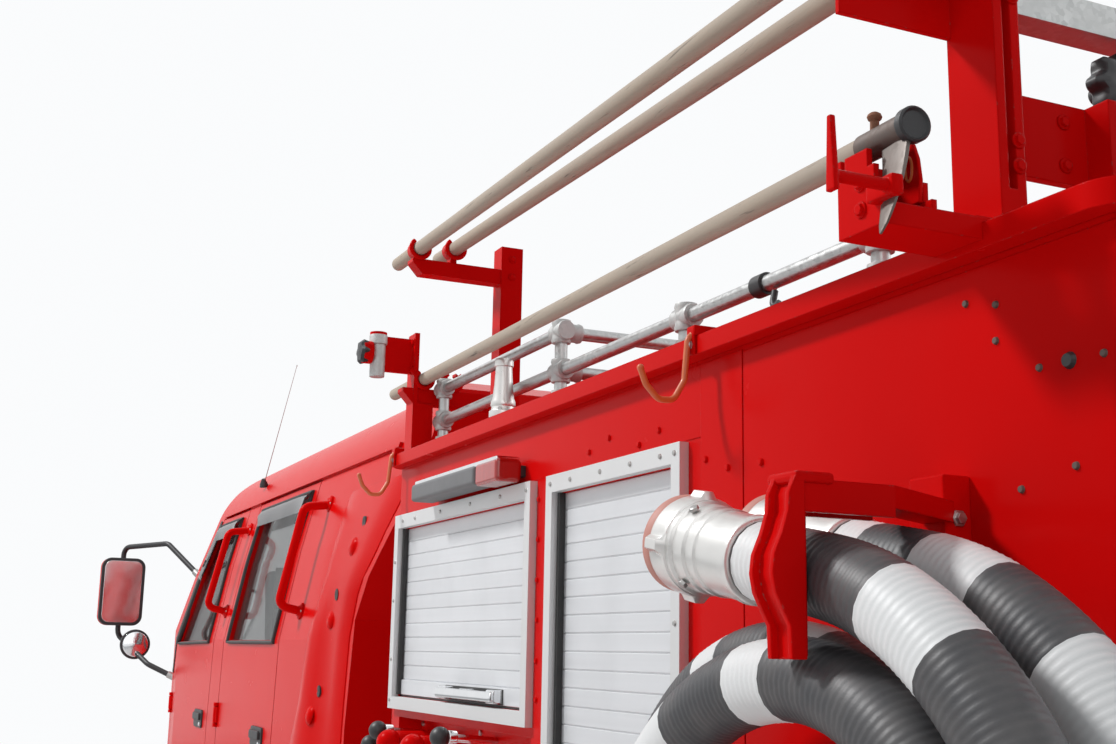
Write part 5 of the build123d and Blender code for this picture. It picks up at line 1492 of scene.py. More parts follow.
@dataclass
class Poles:
    """Two wooden poles and the pike pole, in place of their plain solids."""

    rows: Sequence[tuple[Point, Point]] = (
        ((-0.640, 0.950, 2.374), (-2.600, 1.040, 2.250)), ((-0.700, 0.874, 2.380), (-2.600, 0.968, 2.250)))
    radius: float = 0.015
    pike_front: Point = (-0.560, 0.920, 2.090)
    pike_rear: Point = (-2.592, 1.058, 2.0025)
    pike_radius: float = 0.013
    ferrule_length: float = 0.080
    # the blade's two ends from the shaft's rear end, then half its width and thickness at the root
    blade_top: Point = (0.0215, 0.004, -0.012)
    blade_tip: Point = (0.012, 0.031, -0.106)
    blade_half: float = 0.0195
    blade_thick: float = 0.0022

    def build(self) -> None:
        """Make the poles and the pike pole."""
        form = Form("pole_pair", WOOD)
        for start, end in self.rows:
            self._pole(form, start, end, self.radius)
        form.fit("root", ("poles",))
        self._pike()

    def _pole(self, form: Form, start: Point, end: Point, radius: float) -> None:
        """One round pole with softened ends, slightly uneven as whittled wood is."""
        a, b = Vector(start), Vector(end)
        length = (b - a).length

        def uneven(share: float) -> float:
            ends = min(share, 1 - share) * length
            round_end = math.sqrt(max(0.0, 1 - (1 - min(1.0, ends / 0.012)) ** 2)) if ends < 0.012 else 1.0
            return max(0.15, round_end) * (1 + 0.018 * value_noise((share * 9, radius * 90, a.y * 7)))

        shares = [0, 0.002 / length, 0.005 / length, 0.012 / length]
        shares = shares + [i / 40 for i in range(1, 40)] + [1 - s for s in reversed(shares)]
        form.tube([a.lerp(b, s) for s in shares], radius, WOOD, 20, taper=uneven)

    def _pike(self) -> None:
        """Wooden shaft, blackened ferrule with its cap, spike stub and curved blade."""
        form = Form("pike_pole", WOOD, DARK_STEEL, STEEL, PLASTIC, RUST)
        front, rear = Vector(self.pike_front), Vector(self.pike_rear)
        way = (rear - front).normalized()
        seat = rear - way * self.ferrule_length
        self._pole(form, self.pike_front, rear - way * 0.02, self.pike_radius)
        form.lathe(seat, way, ((0, self.pike_radius), (0.001, self.pike_radius + 0.0015),
                               (self.ferrule_length, self.pike_radius + 0.0018)), DARK_STEEL, 28)
        form.lathe(rear - way * 0.006, way, ((0, 0.0165), (0.001, 0.0175), (0.009, 0.0175), (0.011, 0.0155),
                                             (0.008, 0.0130), (0.008, 0.001)), PLASTIC, 28)
        stub = seat + way * 0.020 + Vector((0, 0.002, self.pike_radius))
        form.tube([stub, stub + Vector((-0.003, 0.002, 0.010))], 0.0045, RUST, 12)
        form.ball(stub + Vector((-0.003, 0.002, 0.012)), 0.0075, RUST, 12, 0.7)
        top, tip = rear + Vector(self.blade_top), rear + Vector(self.blade_tip)
        # across the blade and through it, as shares of its half width and half thickness
        section = ((-1, -1), (-0.2, -1.3), (1, 0), (-0.2, 1.3), (-1, 1))
        rings = []
        for i in range(11):
            share = i / 10
            half = self.blade_half * (1 - share) ** 0.55 + 0.0008
            centre = top.lerp(tip, share) + Vector((-0.005 * math.sin(math.pi * share), 0, 0))
            thick = self.blade_thick * (1 - 0.5 * share)
            rings.append([(centre.x + half * a, centre.y + thick * b, centre.z) for a, b in section])
        form.solid(rings, STEEL)
        form.fit("root", ("fire_hook",))


@dataclass
class Racks:
    """Clamps, knobs, toggles and bolts on the pole carriers and the hose rack."""

    studs: Studs
    fore_x: float = -0.812
    clamp_y: float = 1.036
    clamp_z: float = 2.128
    star_knob: Point = (-2.520, 0.736, 2.124)
    # middle of each hook's arc, and the radius of the pole in it
    hooks: Sequence[tuple[float, float, float, float]] = (
        (-0.836, 0.959, 2.3615, 0.015), (-0.836, 0.879, 2.371, 0.015), (-0.836, 0.9388, 2.078, 0.013),
        (-0.836, 0.875, 2.079, 0.014))
    # outline of the toggle's leaf, in X and Z
    leaf: Outline = ((-2.560, 1.942), (-2.534, 1.942), (-2.532, 1.965), (-2.537, 1.990), (-2.543, 2.003),
                     (-2.548, 2.006), (-2.553, 2.002), (-2.559, 1.986), (-2.562, 1.964))
    # line of the strap down the outer hose, in Y and Z
    strap: Outline = ((1.183, 1.669), (1.189, 1.655), (1.190, 1.640), (1.196, 1.622), (1.204, 1.604),
                      (1.206, 1.588), (1.203, 1.572), (1.195, 1.556), (1.189, 1.545), (1.188, 1.518))
    # X and Y of a row of bolts, their heights, and whether they point back or outwards
    bolts: Sequence[tuple[float, float, Sequence[float], bool]] = (
        (-2.5735, 0.916, (1.992, 2.018, 2.170, 2.212), True), (-2.5165, 0.800, (2.030, 2.078), True),
        (-2.5165, 0.870, (2.030, 2.078), True), (-2.540, 1.080, (1.932, 1.958), False),
        (-0.8355, 0.747, (2.325, 2.365, 2.035, 2.05), True), (-0.824, 0.962, (2.098, 2.158), False))

    def build(self) -> None:
        """Make the carriers' small parts."""
        self._clamp()
        self._star_knob()
        self._hooks()
        self._toggle()
        self._strap()
        self._bolts()

    def _clamp(self) -> None:
        """Lance clamp: cast cylinder with a collar and a black star knob outboard."""
        for side in Side:
            form = Form(f"lance_clamp_{side.word}", CAST, PLASTIC, SCREW)
            x, y = self.fore_x, self.clamp_y
            form.lathe(side.at(x, y, 2.077), UP,
                       ((0, 0.0145), (0.001, 0.0158), (0.068, 0.0158), (0.070, 0.0190), (0.088, 0.0190),
                        (0.094, 0.0150), (0.0965, 0.001)), CAST, 28)
            form.lathe(side.at(x, y + 0.012, self.clamp_z), side.out,
                       ((0, 0.012), (0.012, 0.011), (0.014, 0.008)), CAST, 20)
            form.lathe(side.at(x, y + 0.022, self.clamp_z), side.out,
                       ((0, 0.012), (0.002, 0.022), (0.012, 0.0245), (0.018, 0.020), (0.020, 0.001)),
                       PLASTIC, 60, shape=lambda a, s: 1 + 0.12 * math.cos(6 * a))
            form.fit()

    def _star_knob(self) -> None:
        """Black lobed knob on the inboard beam, beside the rear carrier."""
        for side in Side:
            form = Form(f"star_knob_{side.word}", PLASTIC, SCREW)
            spot = side.at(*self.star_knob)
            form.lathe(spot, BACK,
                       ((-0.020, 0.010), (-0.002, 0.012), (0.000, 0.030), (0.004, 0.034), (0.018, 0.034),
                        (0.024, 0.029), (0.026, 0.020), (0.022, 0.001)), PLASTIC, 96,
                       shape=lambda a, s: 1 + (0.10 * math.cos(8 * a) if s > -0.001 else 0.0))
            form.fit()

    def _hooks(self) -> None:
        """Round-bar hooks, open at the top, that hold the poles at the front and rear carriers."""
        form = Form("bar_hooks", RED)
        for x, y, z, pole in self.hooks:
            reach = pole + 0.0055
            arc = [(x, y - reach * math.cos(a), z - reach * math.sin(a))
                   for a in (math.radians(-50 + 280 * i / 20) for i in range(21))]
            form.tube(arc, 0.0050, sides=10)
        form.fit()

    def _toggle(self) -> None:
        """Red over-centre tab outboard of the tray, with its wing bolt."""
        form = Form("tray_toggle", RED, ORANGE)
        form.solid([[(-2.598, y, 1.925), (-2.584, y, 1.925), (-2.5875, y, 1.996), (-2.5935, y, 1.996)]
                    for y in (1.145, 1.151)], RED, edge=0.0015)
        form.tube([(-2.590, 1.076, 1.940), (-2.590, 1.146, 1.940)], 0.006, RED, 14)
        form.box((-2.600, 1.076, 1.930), (-2.560, 1.090, 1.950), RED, 0.003)
        form.prism(self.leaf, Along.Y, 1.0238, 1.0285, RED, 0.001)
        slot = [(-2.547 + 0.0050 * math.sin(a), 1.0287, 1.978 + 0.012 * math.cos(a))
                for a in (2 * math.pi * i / 20 for i in range(20))]
        form.tube(slot, 0.0016, ORANGE, 8, loop=True)
        form.fit()

    def _strap(self) -> None:
        """Flanged strap bulging round the outer hose, and the bracket's foot on the wall."""
        form = Form("rack_strap", RED, SCREW)
        # X from and to, and how far it stands out: the strap, then its two flanges
        for x_rear, x_front, proud in ((-2.5860, -2.5520, 0.0), (-2.5880, -2.5810, 0.007),
                                       (-2.5570, -2.5500, 0.007)):
            outer = [(y + proud, z) for y, z in self.strap]
            loop = outer + [(min(y, 1.186) - 0.006, z) for y, z in reversed(outer)]
            form.solid([[(x, y, z) for y, z in loop] for x in (x_rear, x_front)], RED, edge=0.0012)
        form.box((-2.5890, 1.150, 1.664), (-2.5430, 1.190, 1.6745), RED, 0.004)
        form.box((-2.5140, 0.9405, 1.606), (-2.4620, 0.9740, 1.694), RED, 0.003)
        form.lathe((-2.5140, 0.957, 1.652), BACK,
                   ((0, 0.0085), (0.002, 0.0085), (0.0022, 0.006), (0.006, 0.0055)), SCREW, 6)
        form.fit()

    def _bolts(self) -> None:
        """Bolt heads on posts, trays and brackets."""
        places = [(side.at(x, y, z), BACK if back else side.out)
                  for side in Side for x, y, heights, back in self.bolts for z in heights]
        places += [((-2.487, 0.948, z), LEFTWARD) for z in (1.643, 1.670)]
        places += [(side.at(-2.526, y, 2.208), UP) for side in Side for y in (0.30, 0.80)]
        self.studs.fit("carrier_bolts", places, 0.0062, 0.005, RED, sides=6, top=0.92)
        self.studs.fit("carrier_washers", places, 0.0085, 0.0016, RED, sides=20, top=0.96)


@dataclass
class Nozzle:
    """Cone nozzle stowed upright on the roof lip."""

    foot: Point = (-1.290, WALL, LIP_TOP)
    profile: Outline = (
        (0, 0.0235), (0.002, 0.025), (0.012, 0.025), (0.014, 0.0215), (0.020, 0.0205), (0.023, 0.0225),
        (0.030, 0.0220), (0.036, 0.0195), (0.060, 0.0168), (0.090, 0.0150), (0.093, 0.0150),
        (0.094, 0.0172), (0.103, 0.0172), (0.108, 0.0150), (0.108, 0.0120), (0.096, 0.0110), (0.096, 0.001))

    def build(self) -> None:
        """Turn the nozzle and bolt its foot down."""
        form = Form("cone_nozzle", COUPLING, SCREW)
        x, y, z = self.foot
        form.lathe(self.foot, UP, self.profile, COUPLING, 40)
        for dx in (-0.016, 0.016):
            form.lathe((x + dx, y + 0.012, z + 0.011), UP, ((0, 0.005), (0.006, 0.005), (0.007, 0.003)),
                       SCREW, 6)
        form.fit("root", ("deck_nozzle",))


@dataclass
class LipHooks:
    """Orange hooks clamped on the roof lip, in place of their plain bars."""

    places: Sequence[float] = (-2.020, -0.735)
    # the bar's path outwards and up, from the wall's face and the lip's top
    bar: Outline = ((0.020, 0.009), (0.033, -0.004), (0.038, -0.060), (0.054, -0.087), (0.076, -0.088),
                    (0.094, -0.070), (0.102, -0.050))

    def build(self) -> None:
        """Bend each hook from round bar and clamp it with its small red block."""
        form = Form("bent_hooks", ORANGE, RED, SCREW)
        for x in self.places:
            y, z = WALL, LIP_TOP
            form.tube([(x, y + out, z + up) for out, up in self.bar], 0.0042, ORANGE, 12, 0.014)
            form.ball((x, y + 0.102, z - 0.049), 0.0048, ORANGE, 12)
            form.box((x - 0.011, y - 0.012, z), (x + 0.011, y + 0.029, z + 0.014), RED, 0.002)
            form.box((x - 0.009, y + 0.0255, z - 0.026), (x + 0.009, y + 0.0295, z + 0.010), RED, 0.0015)
            form.lathe((x, y + 0.029, z - 0.012), LEFTWARD, ((0, 0.006), (0.004, 0.006), (0.005, 0.004)),
                       SCREW, 6)
        form.fit("root", ("lip_hooks",))


class RibbedHose:
    """Corrugated suction hose grown along its route by a node tree."""

    pitch = 0.0080
    depth = 0.0003

    def __init__(self) -> None:
        """Build the tree once for both hoses."""
        tree = self.nodes = NodeTree("ribbed hose")
        radius, pitch, depth, step = (tree.size(name) for name in ("Radius", "Pitch", "Depth", "Step"))
        fine = tree.node("GeometryNodeResampleCurve", settings={"mode": "LENGTH"},
                         Curve=tree.source.outputs[0], Length=step)
        along = tree.node("GeometryNodeSplineParameter").outputs["Length"]
        phase = tree.math("MULTIPLY", tree.math("DIVIDE", along, pitch), 2 * math.pi)
        reach = tree.math("ADD", tree.math("MULTIPLY", tree.math("SINE", phase), depth), radius)
        kept = tree.node("GeometryNodeStoreNamedAttribute",
                         settings={"data_type": "FLOAT", "domain": "POINT"},
                         Geometry=fine.outputs[0], Name="along", Value=along)
        sized = tree.node("GeometryNodeSetCurveRadius", Curve=kept.outputs[0], Radius=reach)
        ring = tree.node("GeometryNodeCurvePrimitiveCircle", settings={"mode": "RADIUS"},
                         Resolution=tree.size("Sides", "Int"), Radius=1.0)
        tube = tree.node("GeometryNodeCurveToMesh", Curve=sized.outputs[0], Profile_Curve=ring.outputs[0],
                         Fill_Caps=True)
        if "Scale" in tube.inputs:
            tree.feed(tube.inputs["Scale"], tree.node("GeometryNodeInputRadius").outputs[0])
        tree.close(tube.outputs[0])

    def grow(self, name: str, route: Sequence[Point], radius: float) -> bpy.types.Object:
        """Grow one hose.

        Args:
            name: the piece's name.
            route: points along its middle.
            radius: its mean radius.

        Returns:
            The plain mesh object, with the distance along it as a point attribute.
        """
        curve = bpy.data.curves.new(name + "_route", "CURVE")
        curve.dimensions = "3D"
        spline = curve.splines.new("POLY")
        spline.points.add(len(route) - 1)
        for point, place in zip(spline.points, route):
            point.co = (*place, 1)
        return self.nodes.grow(placed(name + "_seed", curve), name, Radius=radius, Pitch=self.pitch,
                               Depth=self.depth, Sides=20, Step=self.pitch / 4, Finish=material(HOSE))


@dataclass
class SuctionHoses:
    """Two stiff suction hoses coiled in the rack, with white bands and machined couplings."""

    ribbed: RibbedHose
    radius: float = 0.0375
    start_x: float = -2.374
    bend_x: float = -2.560
    first_bend: float = 0.350
    tilt: float = 10.0
    bottom_z: float = 0.760
    tail: float = 0.090
    rows: Sequence[tuple[float, float, Sequence[float]]] = (
        (1.140, 1.6215, (0.318, 0.381, 0.360, 0.258, 0.258)),
        (1.036, 1.6290, (0.429, 0.420, 0.340, 0.300, 0.290)))
    bands: Sequence[Sequence[tuple[float, float]]] = (
        ((0.108, 0.036), (0.325, 0.088), (0.780, 0.09), (1.280, 0.09), (1.820, 0.09), (2.275, 0.075),
         (2.468, 0.062)),
        ((0.108, 0.036), (0.245, 0.080), (0.425, 0.09), (0.900, 0.09), (1.500, 0.09), (2.040, 0.08),
         (2.493, 0.05), (2.650, 0.07)))

    def build(self) -> None:
        """Make both hoses with their couplings."""
        parts = []
        for number, ((y, start_z, radii), bands) in enumerate(zip(self.rows, self.bands)):
            route = self._route(y, start_z, radii)
            hose = self.ribbed.grow(f"hose_{number + 1}", route, self.radius)
            self._paint_bands(hose, bands)
            parts.append(hose)
            form = Form(f"couplings_{number + 1}", COUPLING, SEAL, CHROME, PLASTIC, SCREW)
            way = Vector((math.cos(math.radians(self.tilt)), 0, math.sin(math.radians(self.tilt))))
            self._coupling(form, Vector(route[0]), way)
            self._coupling(form, Vector(route[-1]), Vector(FORWARD))
            form.fit()
        hang(parts[0], "root", HOSE.slot)
        hang(parts[1], "root", HOSE.slot, ("suction_hoses",))

    def _route(self, y: float, start_z: float, radii: Sequence[float]) -> list[Point]:
        """Tilted run, bend to plumb, then quarter arcs down, forward, up and in, as the rack holds it."""
        slope = math.tan(math.radians(self.tilt))
        bend_z = start_z - (self.start_x - self.bend_x) * slope
        rear_x = self.bend_x - self.first_bend * (1 - math.sin(math.radians(self.tilt)))
        plumb_z = bend_z - self.first_bend * math.cos(math.radians(self.tilt))
        points = [(self.start_x, start_z), (self.bend_x, bend_z)]
        turn_from, turn_to = math.radians(90 + self.tilt), math.pi
        points += [(rear_x + self.first_bend + self.first_bend * math.cos(a),
                    plumb_z + self.first_bend * math.sin(a))
                   for a in (turn_from + (turn_to - turn_from) * i / 24 for i in range(1, 25))]
        x, z = rear_x, self.bottom_z + radii[0]
        points.append((x, z))
        starts = (math.pi, 1.5 * math.pi, 0, 0.5 * math.pi, math.pi)
        for radius, start in zip(radii, starts):
            cx, cz = x - radius * math.cos(start), z - radius * math.sin(start)
            points += [(cx + radius * math.cos(start + math.pi / 2 * i / 28),
                        cz + radius * math.sin(start + math.pi / 2 * i / 28)) for i in range(1, 29)]
            x, z = points[-1]
        points.append((x + self.tail, z))
        return [(px, y, pz) for px, pz in points]

    def _paint_bands(self, hose: bpy.types.Object, bands: Sequence[tuple[float, float]]) -> None:
        """Give the faces inside each band the white finish.

        Args:
            hose: the grown hose.
            bands: middle of each band along the hose, and its width.
        """
        spans = [(middle - width / 2, middle + width / 2) for middle, width in bands]
        hose.data.materials.append(material(BAND))
        along = hose.data.attributes["along"].data
        for face in hose.data.polygons:
            place = along[face.vertices[0]].value
            if any(low < place < high for low, high in spans):
                face.material_index = len(hose.data.materials) - 1
            face.use_smooth = True

    def _coupling(self, form: Form, end: Vector, way: Vector) -> None:
        """One coupling: wire clamp, ribbed sleeve, lugged ring and rubber seal round the bore."""
        form.lathe(end, way, ((-0.088, 0.0380), (-0.086, 0.0420), (-0.078, 0.0428), (-0.074, 0.0412),
                              (-0.030, 0.0412), (-0.028, 0.0432), (-0.020, 0.0432), (-0.018, 0.0415),
                              (-0.010, 0.0415), (-0.008, 0.0440), (0.010, 0.0445), (0.012, 0.0475),
                              (0.020, 0.0475)), COUPLING, 56)
        form.lathe(end, way, ((0.018, 0.0440), (0.020, 0.0490), (0.024, 0.0502), (0.046, 0.0502),
                              (0.050, 0.0490), (0.052, 0.0470), (0.052, 0.0400)), COUPLING, 72,
                   shape=lambda a, s: 1 + (0.115 if 0.022 < s < 0.048 and math.cos(4 * a) > 0.90 else 0.0))
        form.lathe(end, way, ((0.050, 0.0340), (0.050, 0.0480), (0.054, 0.0500), (0.062, 0.0500),
                              (0.065, 0.0470), (0.064, 0.0380), (0.058, 0.0340)), SEAL, 56, closed=True)
        form.lathe(end, way, ((0.030, 0.0360), (0.052, 0.0360), (0.060, 0.0355), (0.060, 0.0325),
                              (0.034, 0.0320), (0.034, 0.001)), PLASTIC, 40)
        side = way.cross(Vector(LEFTWARD)).normalized()
        for turn in (0.6, 2.4, 4.1):
            offset = (side * math.cos(turn) + Vector(LEFTWARD) * math.sin(turn)) * 0.0455
            form.lathe(end + way * 0.004 + offset, offset.normalized(),
                       ((0, 0.0050), (0.0035, 0.0050), (0.0045, 0.0035)), SCREW, 6)


@dataclass
class Wheel:
    """One road wheel or twin pair: tyres with treads and rims' nuts on one turning body."""

    wreath: Wreath
    studs: Studs
    body: str
    node: str
    axle_x: float
    tyre_y: Sequence[float]
    nuts_y: float
    side: Side
    radius: float = 0.375
    width: float = 0.190
    rim: float = 0.222
    nut_circle: float = 0.095
    # name, offset from the middle, width, length, number round the tyre, how far the top is sunk
    tread: Sequence[tuple[str, float, float, float, int, float]] = (
        ("shoulder", 0.078, 0.034, 0.026, 60, 0.004), ("middle", 0.041, 0.026, 0.021, 66, 0.0),
        ("centre", 0.0, 0.028, 0.021, 66, 0.0))

    def build(self) -> None:
        """Make the tyres, then the nuts and the hub cap."""
        parts = []
        for y in self.tyre_y:
            parts.append(self._carcass(y))
            parts += self._tread(y)
        hang(joined(f"tread_{self.body}", parts), self.body, TYRE.slot, (self.node,))
        self._hub()

    def _carcass(self, y: float) -> bpy.types.Object:
        """Closed ring with bead, bulged sidewall and shoulder."""
        form = Form("carcass", TYRE)
        h, r = self.width / 2, self.radius
        half = ((h - 0.024, self.rim), (h - 0.012, self.rim + 0.010), (h - 0.006, self.rim + 0.030),
                (h - 0.0015, 0.285), (h, 0.302), (h - 0.003, 0.330), (h - 0.006, 0.346), (h - 0.014, 0.358),
                (h - 0.028, r - 0.009), (0.066, r - 0.0068), (0.064, r - 0.012), (0.058, r - 0.012),
                (0.056, r - 0.006), (0.026, r - 0.005), (0.024, r - 0.012), (0.018, r - 0.012),
                (0.016, r - 0.005))
        profile = [*half, *[(-a, b) for a, b in reversed(half)]]
        form.lathe((self.axle_x, y, self.radius), LEFTWARD, profile, None, 96, closed=True)
        return form.made(30)

    def _tread(self, y: float) -> list[bpy.types.Object]:
        """One row in the middle, and a row of blocks and one of dropped shoulder lugs on each side."""
        made = []
        foot, inset, drop = self.radius - 0.014, 0.002, 0.006
        corners = ((-1, -1), (1, -1), (1, 1), (-1, 1))
        for name, offset, wide, long, count, sunk in self.tread:
            for middle in {offset, -offset}:
                form = Form(name, TYRE)
                top = [self.radius - sunk - (drop if sunk and sy * middle > 0 else 0) for _, sy in corners]
                form.solid([[(sx * long / 2, middle + sy * wide / 2, foot) for sx, sy in corners],
                            [(sx * (long / 2 - inset), middle + sy * (wide / 2 - inset), z)
                             for (sx, sy), z in zip(corners, top)]])
                made.append(self.wreath.grow(form, count, (self.axle_x, y, self.radius)))
        return made

    def _hub(self) -> None:
        """Six wheel nuts with washers and a domed cap."""
        out = self.side.value
        ring = []
        for i in range(6):
            angle = math.radians(60 * i)
            ring.append(((self.axle_x + self.nut_circle * math.cos(angle), self.nuts_y,
                          self.radius + self.nut_circle * math.sin(angle)), (0, out, 0)))
        self.studs.fit(f"nuts_{self.body}", ring, 0.0165, 0.022, SCREW, self.body, 6, 0.92)
        form = Form(f"hub_cap_{self.body}", BLACK, SCREW)
        form.lathe((self.axle_x, self.nuts_y - 0.006 * out, self.radius), (0, out, 0),
                   ((0, 0.060), (0.010, 0.059), (0.022, 0.050), (0.034, 0.044), (0.040, 0.030),
                    (0.041, 0.001)), BLACK, 40)
        form.fit(self.body)


@dataclass
class Seats:
    """Front seats and rear bench: stuffed pads on plain bases, in place of their plain solids."""

    rows: Sequence[tuple[float, float, float]] = (
        (1.560, 0.545, 1.170), (1.560, -0.545, 1.170), (1.560, 0.0, 1.170), (0.330, -0.500, 1.150),
        (0.330, 0.0, 1.150), (0.330, 0.500, 1.150))
    width: float = 0.460
    voxel: float = 0.010
    frames: int = 20
    most: float = 0.012  # how far the stuffing may push a point
    cab_floor: float = 0.901
    engine_cover: float = 1.161

    def build(self) -> None:
        """Stuff one cushion and one back, then set copies of each on the bases."""
        cushion = self._stuffed("cushion_pad", (0.490, self.width, 0.085))
        back = self._stuffed("back_pad", (0.530, self.width, 0.075))
        cushions, backs = [], []
        for x, y, z in self.rows:
            level = Matrix.Rotation(math.radians(-2), 4, "Y")
            cushions.append(self._copy(cushion, Matrix.Translation((x + 0.005, y, z + 0.052)) @ level))
            lean = Matrix.Rotation(math.radians(-79), 4, "Y")
            backs.append(self._copy(back, Matrix.Translation((x - 0.222, y, z + 0.360)) @ lean))
        for spare in (cushion, back):
            bpy.data.objects.remove(spare)
        for name, parts in (("seat_cushions", cushions), ("seat_backs", backs)):
            pads = joined(name, parts)
            hang(pads, "root", FABRIC.slot)
        self._bases()

    def _stuffed(self, name: str, size: Point) -> bpy.types.Object:
        """One pad: a rounded block blown up softly as cloth, with channels pressed into its top.

        Args:
            name: the pad's name.
            size: its size before stuffing.

        Returns:
            The pad about the origin.
        """
        form = Form(name, FABRIC)
        half = [s / 2 for s in size]
        form.box((-half[0], -half[1], -half[2]), (half[0], half[1], half[2]), edge=0.020, segments=4)
        pad = form.made(60)
        self._apply(pad, "REMESH", mode="VOXEL", voxel_size=self.voxel)
        self._inflate(pad)
        self._apply(pad, "SUBSURF", levels=1)
        for vertex in pad.data.vertices:
            tuck = min(1.0, abs(vertex.co.y) / half[1])
            channel = math.cos(vertex.co.y / 0.075 * math.pi) ** 12
            if vertex.co.z > 0:
                vertex.co.z -= 0.005 * channel * (1 - tuck ** 4)
        for face in pad.data.polygons:
            face.use_smooth = True
        return pad

    def _apply(self, pad: bpy.types.Object, kind: str, **settings) -> None:
        """Apply one modifier to a pad."""
        modifier = pad.modifiers.new(kind.lower(), kind)
        for key, value in settings.items():
            setattr(modifier, key, value)
        bake(pad)

    def _inflate(self, pad: bpy.types.Object) -> None:
        """Run the cloth for a few frames under inner pressure and cap how far each point goes."""
        scene = bpy.context.scene
        before = [v.co.copy() for v in pad.data.vertices]
        cloth = pad.modifiers.new("stuffing", "CLOTH")
        cloth.settings.quality = 5
        cloth.settings.use_pressure = True
        cloth.settings.uniform_pressure_force = 4
        cloth.settings.effector_weights.gravity = 0
        cloth.point_cache.frame_start = 1
        cloth.point_cache.frame_end = self.frames
        for number in range(1, self.frames + 1):
            scene.frame_set(number)
        bake(pad)
        for vertex, start in zip(pad.data.vertices, before):
            moved = vertex.co - start
            if moved.length > self.most:
                vertex.co = start + moved.normalized() * self.most
        scene.frame_set(1)

    def _copy(self, pad: bpy.types.Object, place: Matrix) -> bpy.types.Object:
        """A copy of a pad with its place in its mesh."""
        data = pad.data.copy()
        data.transform(place)
        return placed(pad.name + "_copy", data)

    def _bases(self) -> None:
        """Seat boxes and back shells, the middle front seat on the engine cover."""
        form = Form("seat_bases", GREY, PLASTIC)
        for x, y, z in self.rows:
            floor = self.engine_cover if y == 0 and x > 1 else self.cab_floor
            if z - floor > 0.02:
                form.box((x - 0.225, y - 0.205, floor), (x + 0.225, y + 0.205, z + 0.004), GREY, 0.006)
            form.solid([[(x - 0.262, y + s * 0.215, z + 0.060), (x - 0.246, y + s * 0.215, z + 0.060),
                         (x - 0.294, y + s * 0.215, z + 0.620), (x - 0.318, y + s * 0.215, z + 0.620)]
                        for s in (-1, 1)], GREY, edge=0.004)
        form.fit("root", ("seats",))


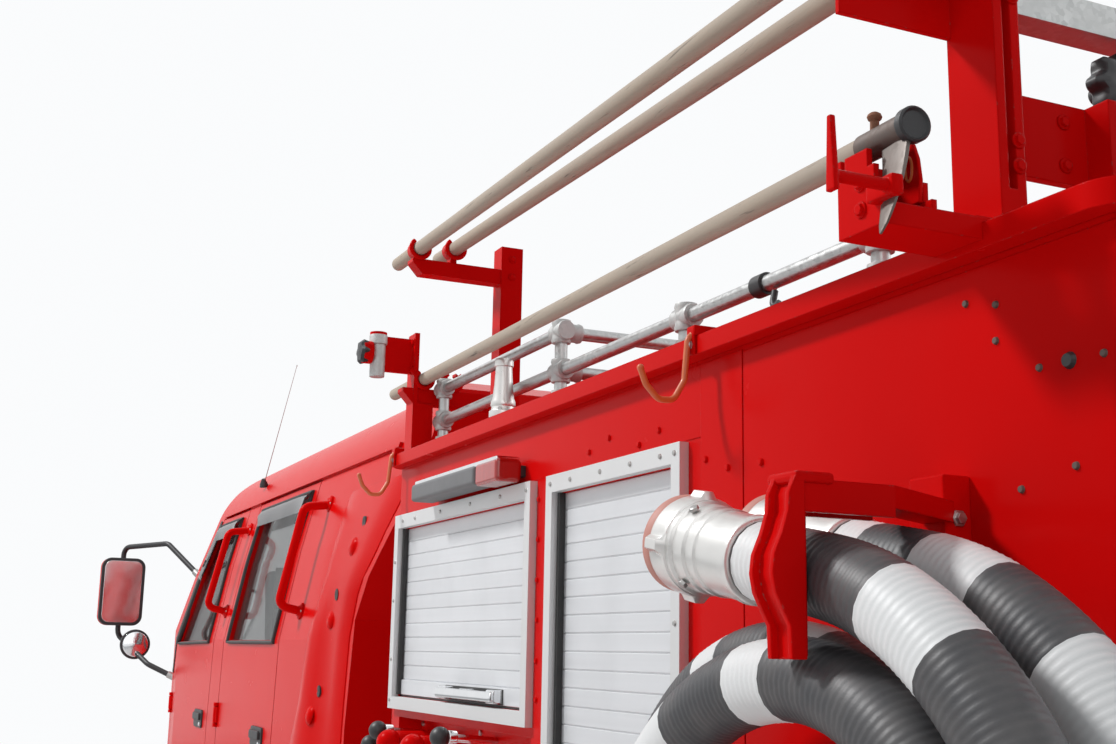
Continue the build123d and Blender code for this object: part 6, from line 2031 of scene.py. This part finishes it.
@dataclass(frozen=True)
class Studio:
    """Floor, soft lights and the camera at the photograph's viewing point."""

    eye: Point = (-3.56, 1.84, 1.52)
    yaw: float = -23.911
    pitch: float = 11.462
    roll: float = 1.110
    focal_px: float = 1383.17
    image_width: float = 1116
    floor_half: float = 17.0
    light: float = 0.30
    lamps: Sequence[tuple[str, Point, float, float]] = (
        ("key", (2.2, 6.2, 8.0), 1.3, 640), ("rear", (-8.0, 3.0, 4.5), 6.0, 60),
        ("far", (-3.0, -7.0, 6.0), 6.0, 120))

    def build(self) -> None:
        """Make the camera, the floor, the world and the lamps."""
        self._camera()
        self._floor()
        self._world()
        self._lamps()
        bpy.context.scene.view_settings.view_transform = "Standard"

    def _camera(self) -> None:
        """Place the camera from its yaw, pitch and roll."""
        yaw, pitch, roll = (math.radians(a) for a in (self.yaw, self.pitch, self.roll))
        forward = Vector((math.cos(yaw) * math.cos(pitch), math.sin(yaw) * math.cos(pitch), math.sin(pitch)))
        right_level = Vector((math.sin(yaw), -math.cos(yaw), 0))
        up_level = right_level.cross(forward)
        right = math.cos(roll) * right_level + math.sin(roll) * up_level
        up = -math.sin(roll) * right_level + math.cos(roll) * up_level
        data = bpy.data.cameras.new("camera")
        data.sensor_fit = "HORIZONTAL"
        data.sensor_width = 36
        data.lens = self.focal_px * data.sensor_width / self.image_width
        data.clip_start, data.clip_end = 0.05, 200
        camera = placed("camera", data)
        turn = Matrix((right, up, -forward)).transposed().to_4x4()
        camera.matrix_world = Matrix.Translation(self.eye) @ turn
        bpy.context.scene.camera = camera

    def _floor(self) -> None:
        """One pale plain floor below the tyres."""
        mesh = bpy.data.meshes.new("floor")
        h = self.floor_half
        mesh.from_pydata([(-h, -h, 0), (h, -h, 0), (h, h, 0), (-h, h, 0)], [], [(0, 1, 2, 3)])
        tree = ShaderTree("pale floor")
        colour = tree.blend(tree.noise(0.6, 3), (0.86, 0.86, 0.85), (0.90, 0.90, 0.89))
        tree.feed(tree.shader.inputs["Base Color"], colour)
        tree.shader.inputs["Roughness"].default_value = 0.9
        mesh.materials.append(tree.material)
        placed("floor", mesh)

    def _world(self) -> None:
        """Even pale sky, white to the camera, in reflections and through glass."""
        world = bpy.data.worlds.new("studio")
        world.use_nodes = True
        world.node_tree.nodes.clear()
        graph = Graph(world.node_tree)
        path = graph.node("ShaderNodeLightPath").outputs
        seen = path["Is Camera Ray"]
        for name in ("Is Glossy Ray", "Is Transmission Ray"):
            seen = graph.math("MAXIMUM", seen, path[name])
        light = graph.node("ShaderNodeBackground", (0.93, 0.96, 1.0, 1), self.light)
        shown = graph.node("ShaderNodeBackground", (0.96, 0.97, 0.98, 1), 1.0)
        mix = graph.node("ShaderNodeMixShader", seen, light.outputs[0], shown.outputs[0])
        graph.node("ShaderNodeOutputWorld", mix.outputs[0])
        bpy.context.scene.world = world

    def _lamps(self) -> None:
        """Disc lamps: the key from the left, ahead and above, a weak one behind and one on the right."""
        target = Vector((-0.8, 0, 1.2))
        for name, place, size, power in self.lamps:
            data = bpy.data.lights.new(name, "AREA")
            data.shape, data.size, data.energy = "DISK", size, power
            lamp = placed(name, data)
            lamp.location = place
            lamp.rotation_euler = (target - Vector(place)).to_track_quat("-Z", "Y").to_euler()


def dress_nodes() -> None:
    """Give each carried-over node its finish."""
    for finish, names in NODE_FINISHES.items():
        for name in names:
            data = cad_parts[name].data
            data.materials.clear()
            data.materials.append(material(finish))
            data.set_sharp_from_angle(angle=math.radians(32))
    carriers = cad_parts["carriers_rear"].data
    carriers.materials.append(material(ZINC))
    for face in carriers.polygons:
        x, y, z = face.center
        if CROSS_TUBE[0] < x < CROSS_TUBE[1] and CROSS_TUBE[2] < z < CROSS_TUBE[3] and abs(y) < CROSS_TUBE[4]:
            face.material_index = 1


def main() -> None:
    """Dress the nodes and build every sub-assembly, from the cab to the tail."""
    logging.basicConfig(level=logging.INFO, format="%(name)s: %(message)s")
    dress_nodes()
    studs, row, wreath = Studs(), Row(), Wreath()
    doors = [f"{kind}_{place}_{side.word}" for kind in ("door", "glass") for place in ("front", "rear")
             for side in Side]
    skin = Skin("cab_shell", "windscreen", *doors)
    CabTrim(studs, skin).build()
    Mirrors().build()
    BodyPanels(studs).build()
    for side in Side:
        out = side.out
        Shutter(row, f"fore_{side.word}", f"fore_shutter_{side.word}", out, -0.086, 0.282, 0.0605).build()
        Shutter(row, f"aft_{side.word}", f"aft_shutter_{side.word}", out, 0, 0.18, 0.0896).build()
    Shutter(row, "rear", "rear_shutter", BACK, 0, 0.30, 0.0914).build()
    ShutterFrames(studs).build()
    PumpPanel(studs).build()
    Lamps().build()
    DeckRails(studs).build()
    Poles().build()
    Racks(studs).build()
    Nozzle().build()
    LipHooks().build()
    SuctionHoses(RibbedHose()).build()
    for side in Side:
        Wheel(wreath, studs, f"front_wheel_{side.word}", f"tyre_front_{side.word}", FRONT_AXLE,
              (0.735 * side.value,), 0.789 * side.value, side).build()
        Wheel(wreath, studs, f"rear_twin_wheels_{side.word}", f"tyres_rear_{side.word}", REAR_AXLE,
              (0.612 * side.value, 0.832 * side.value), 0.824 * side.value, side).build()
    Seats().build()
    Studio().build()


if __name__ == "__main__":
    main()
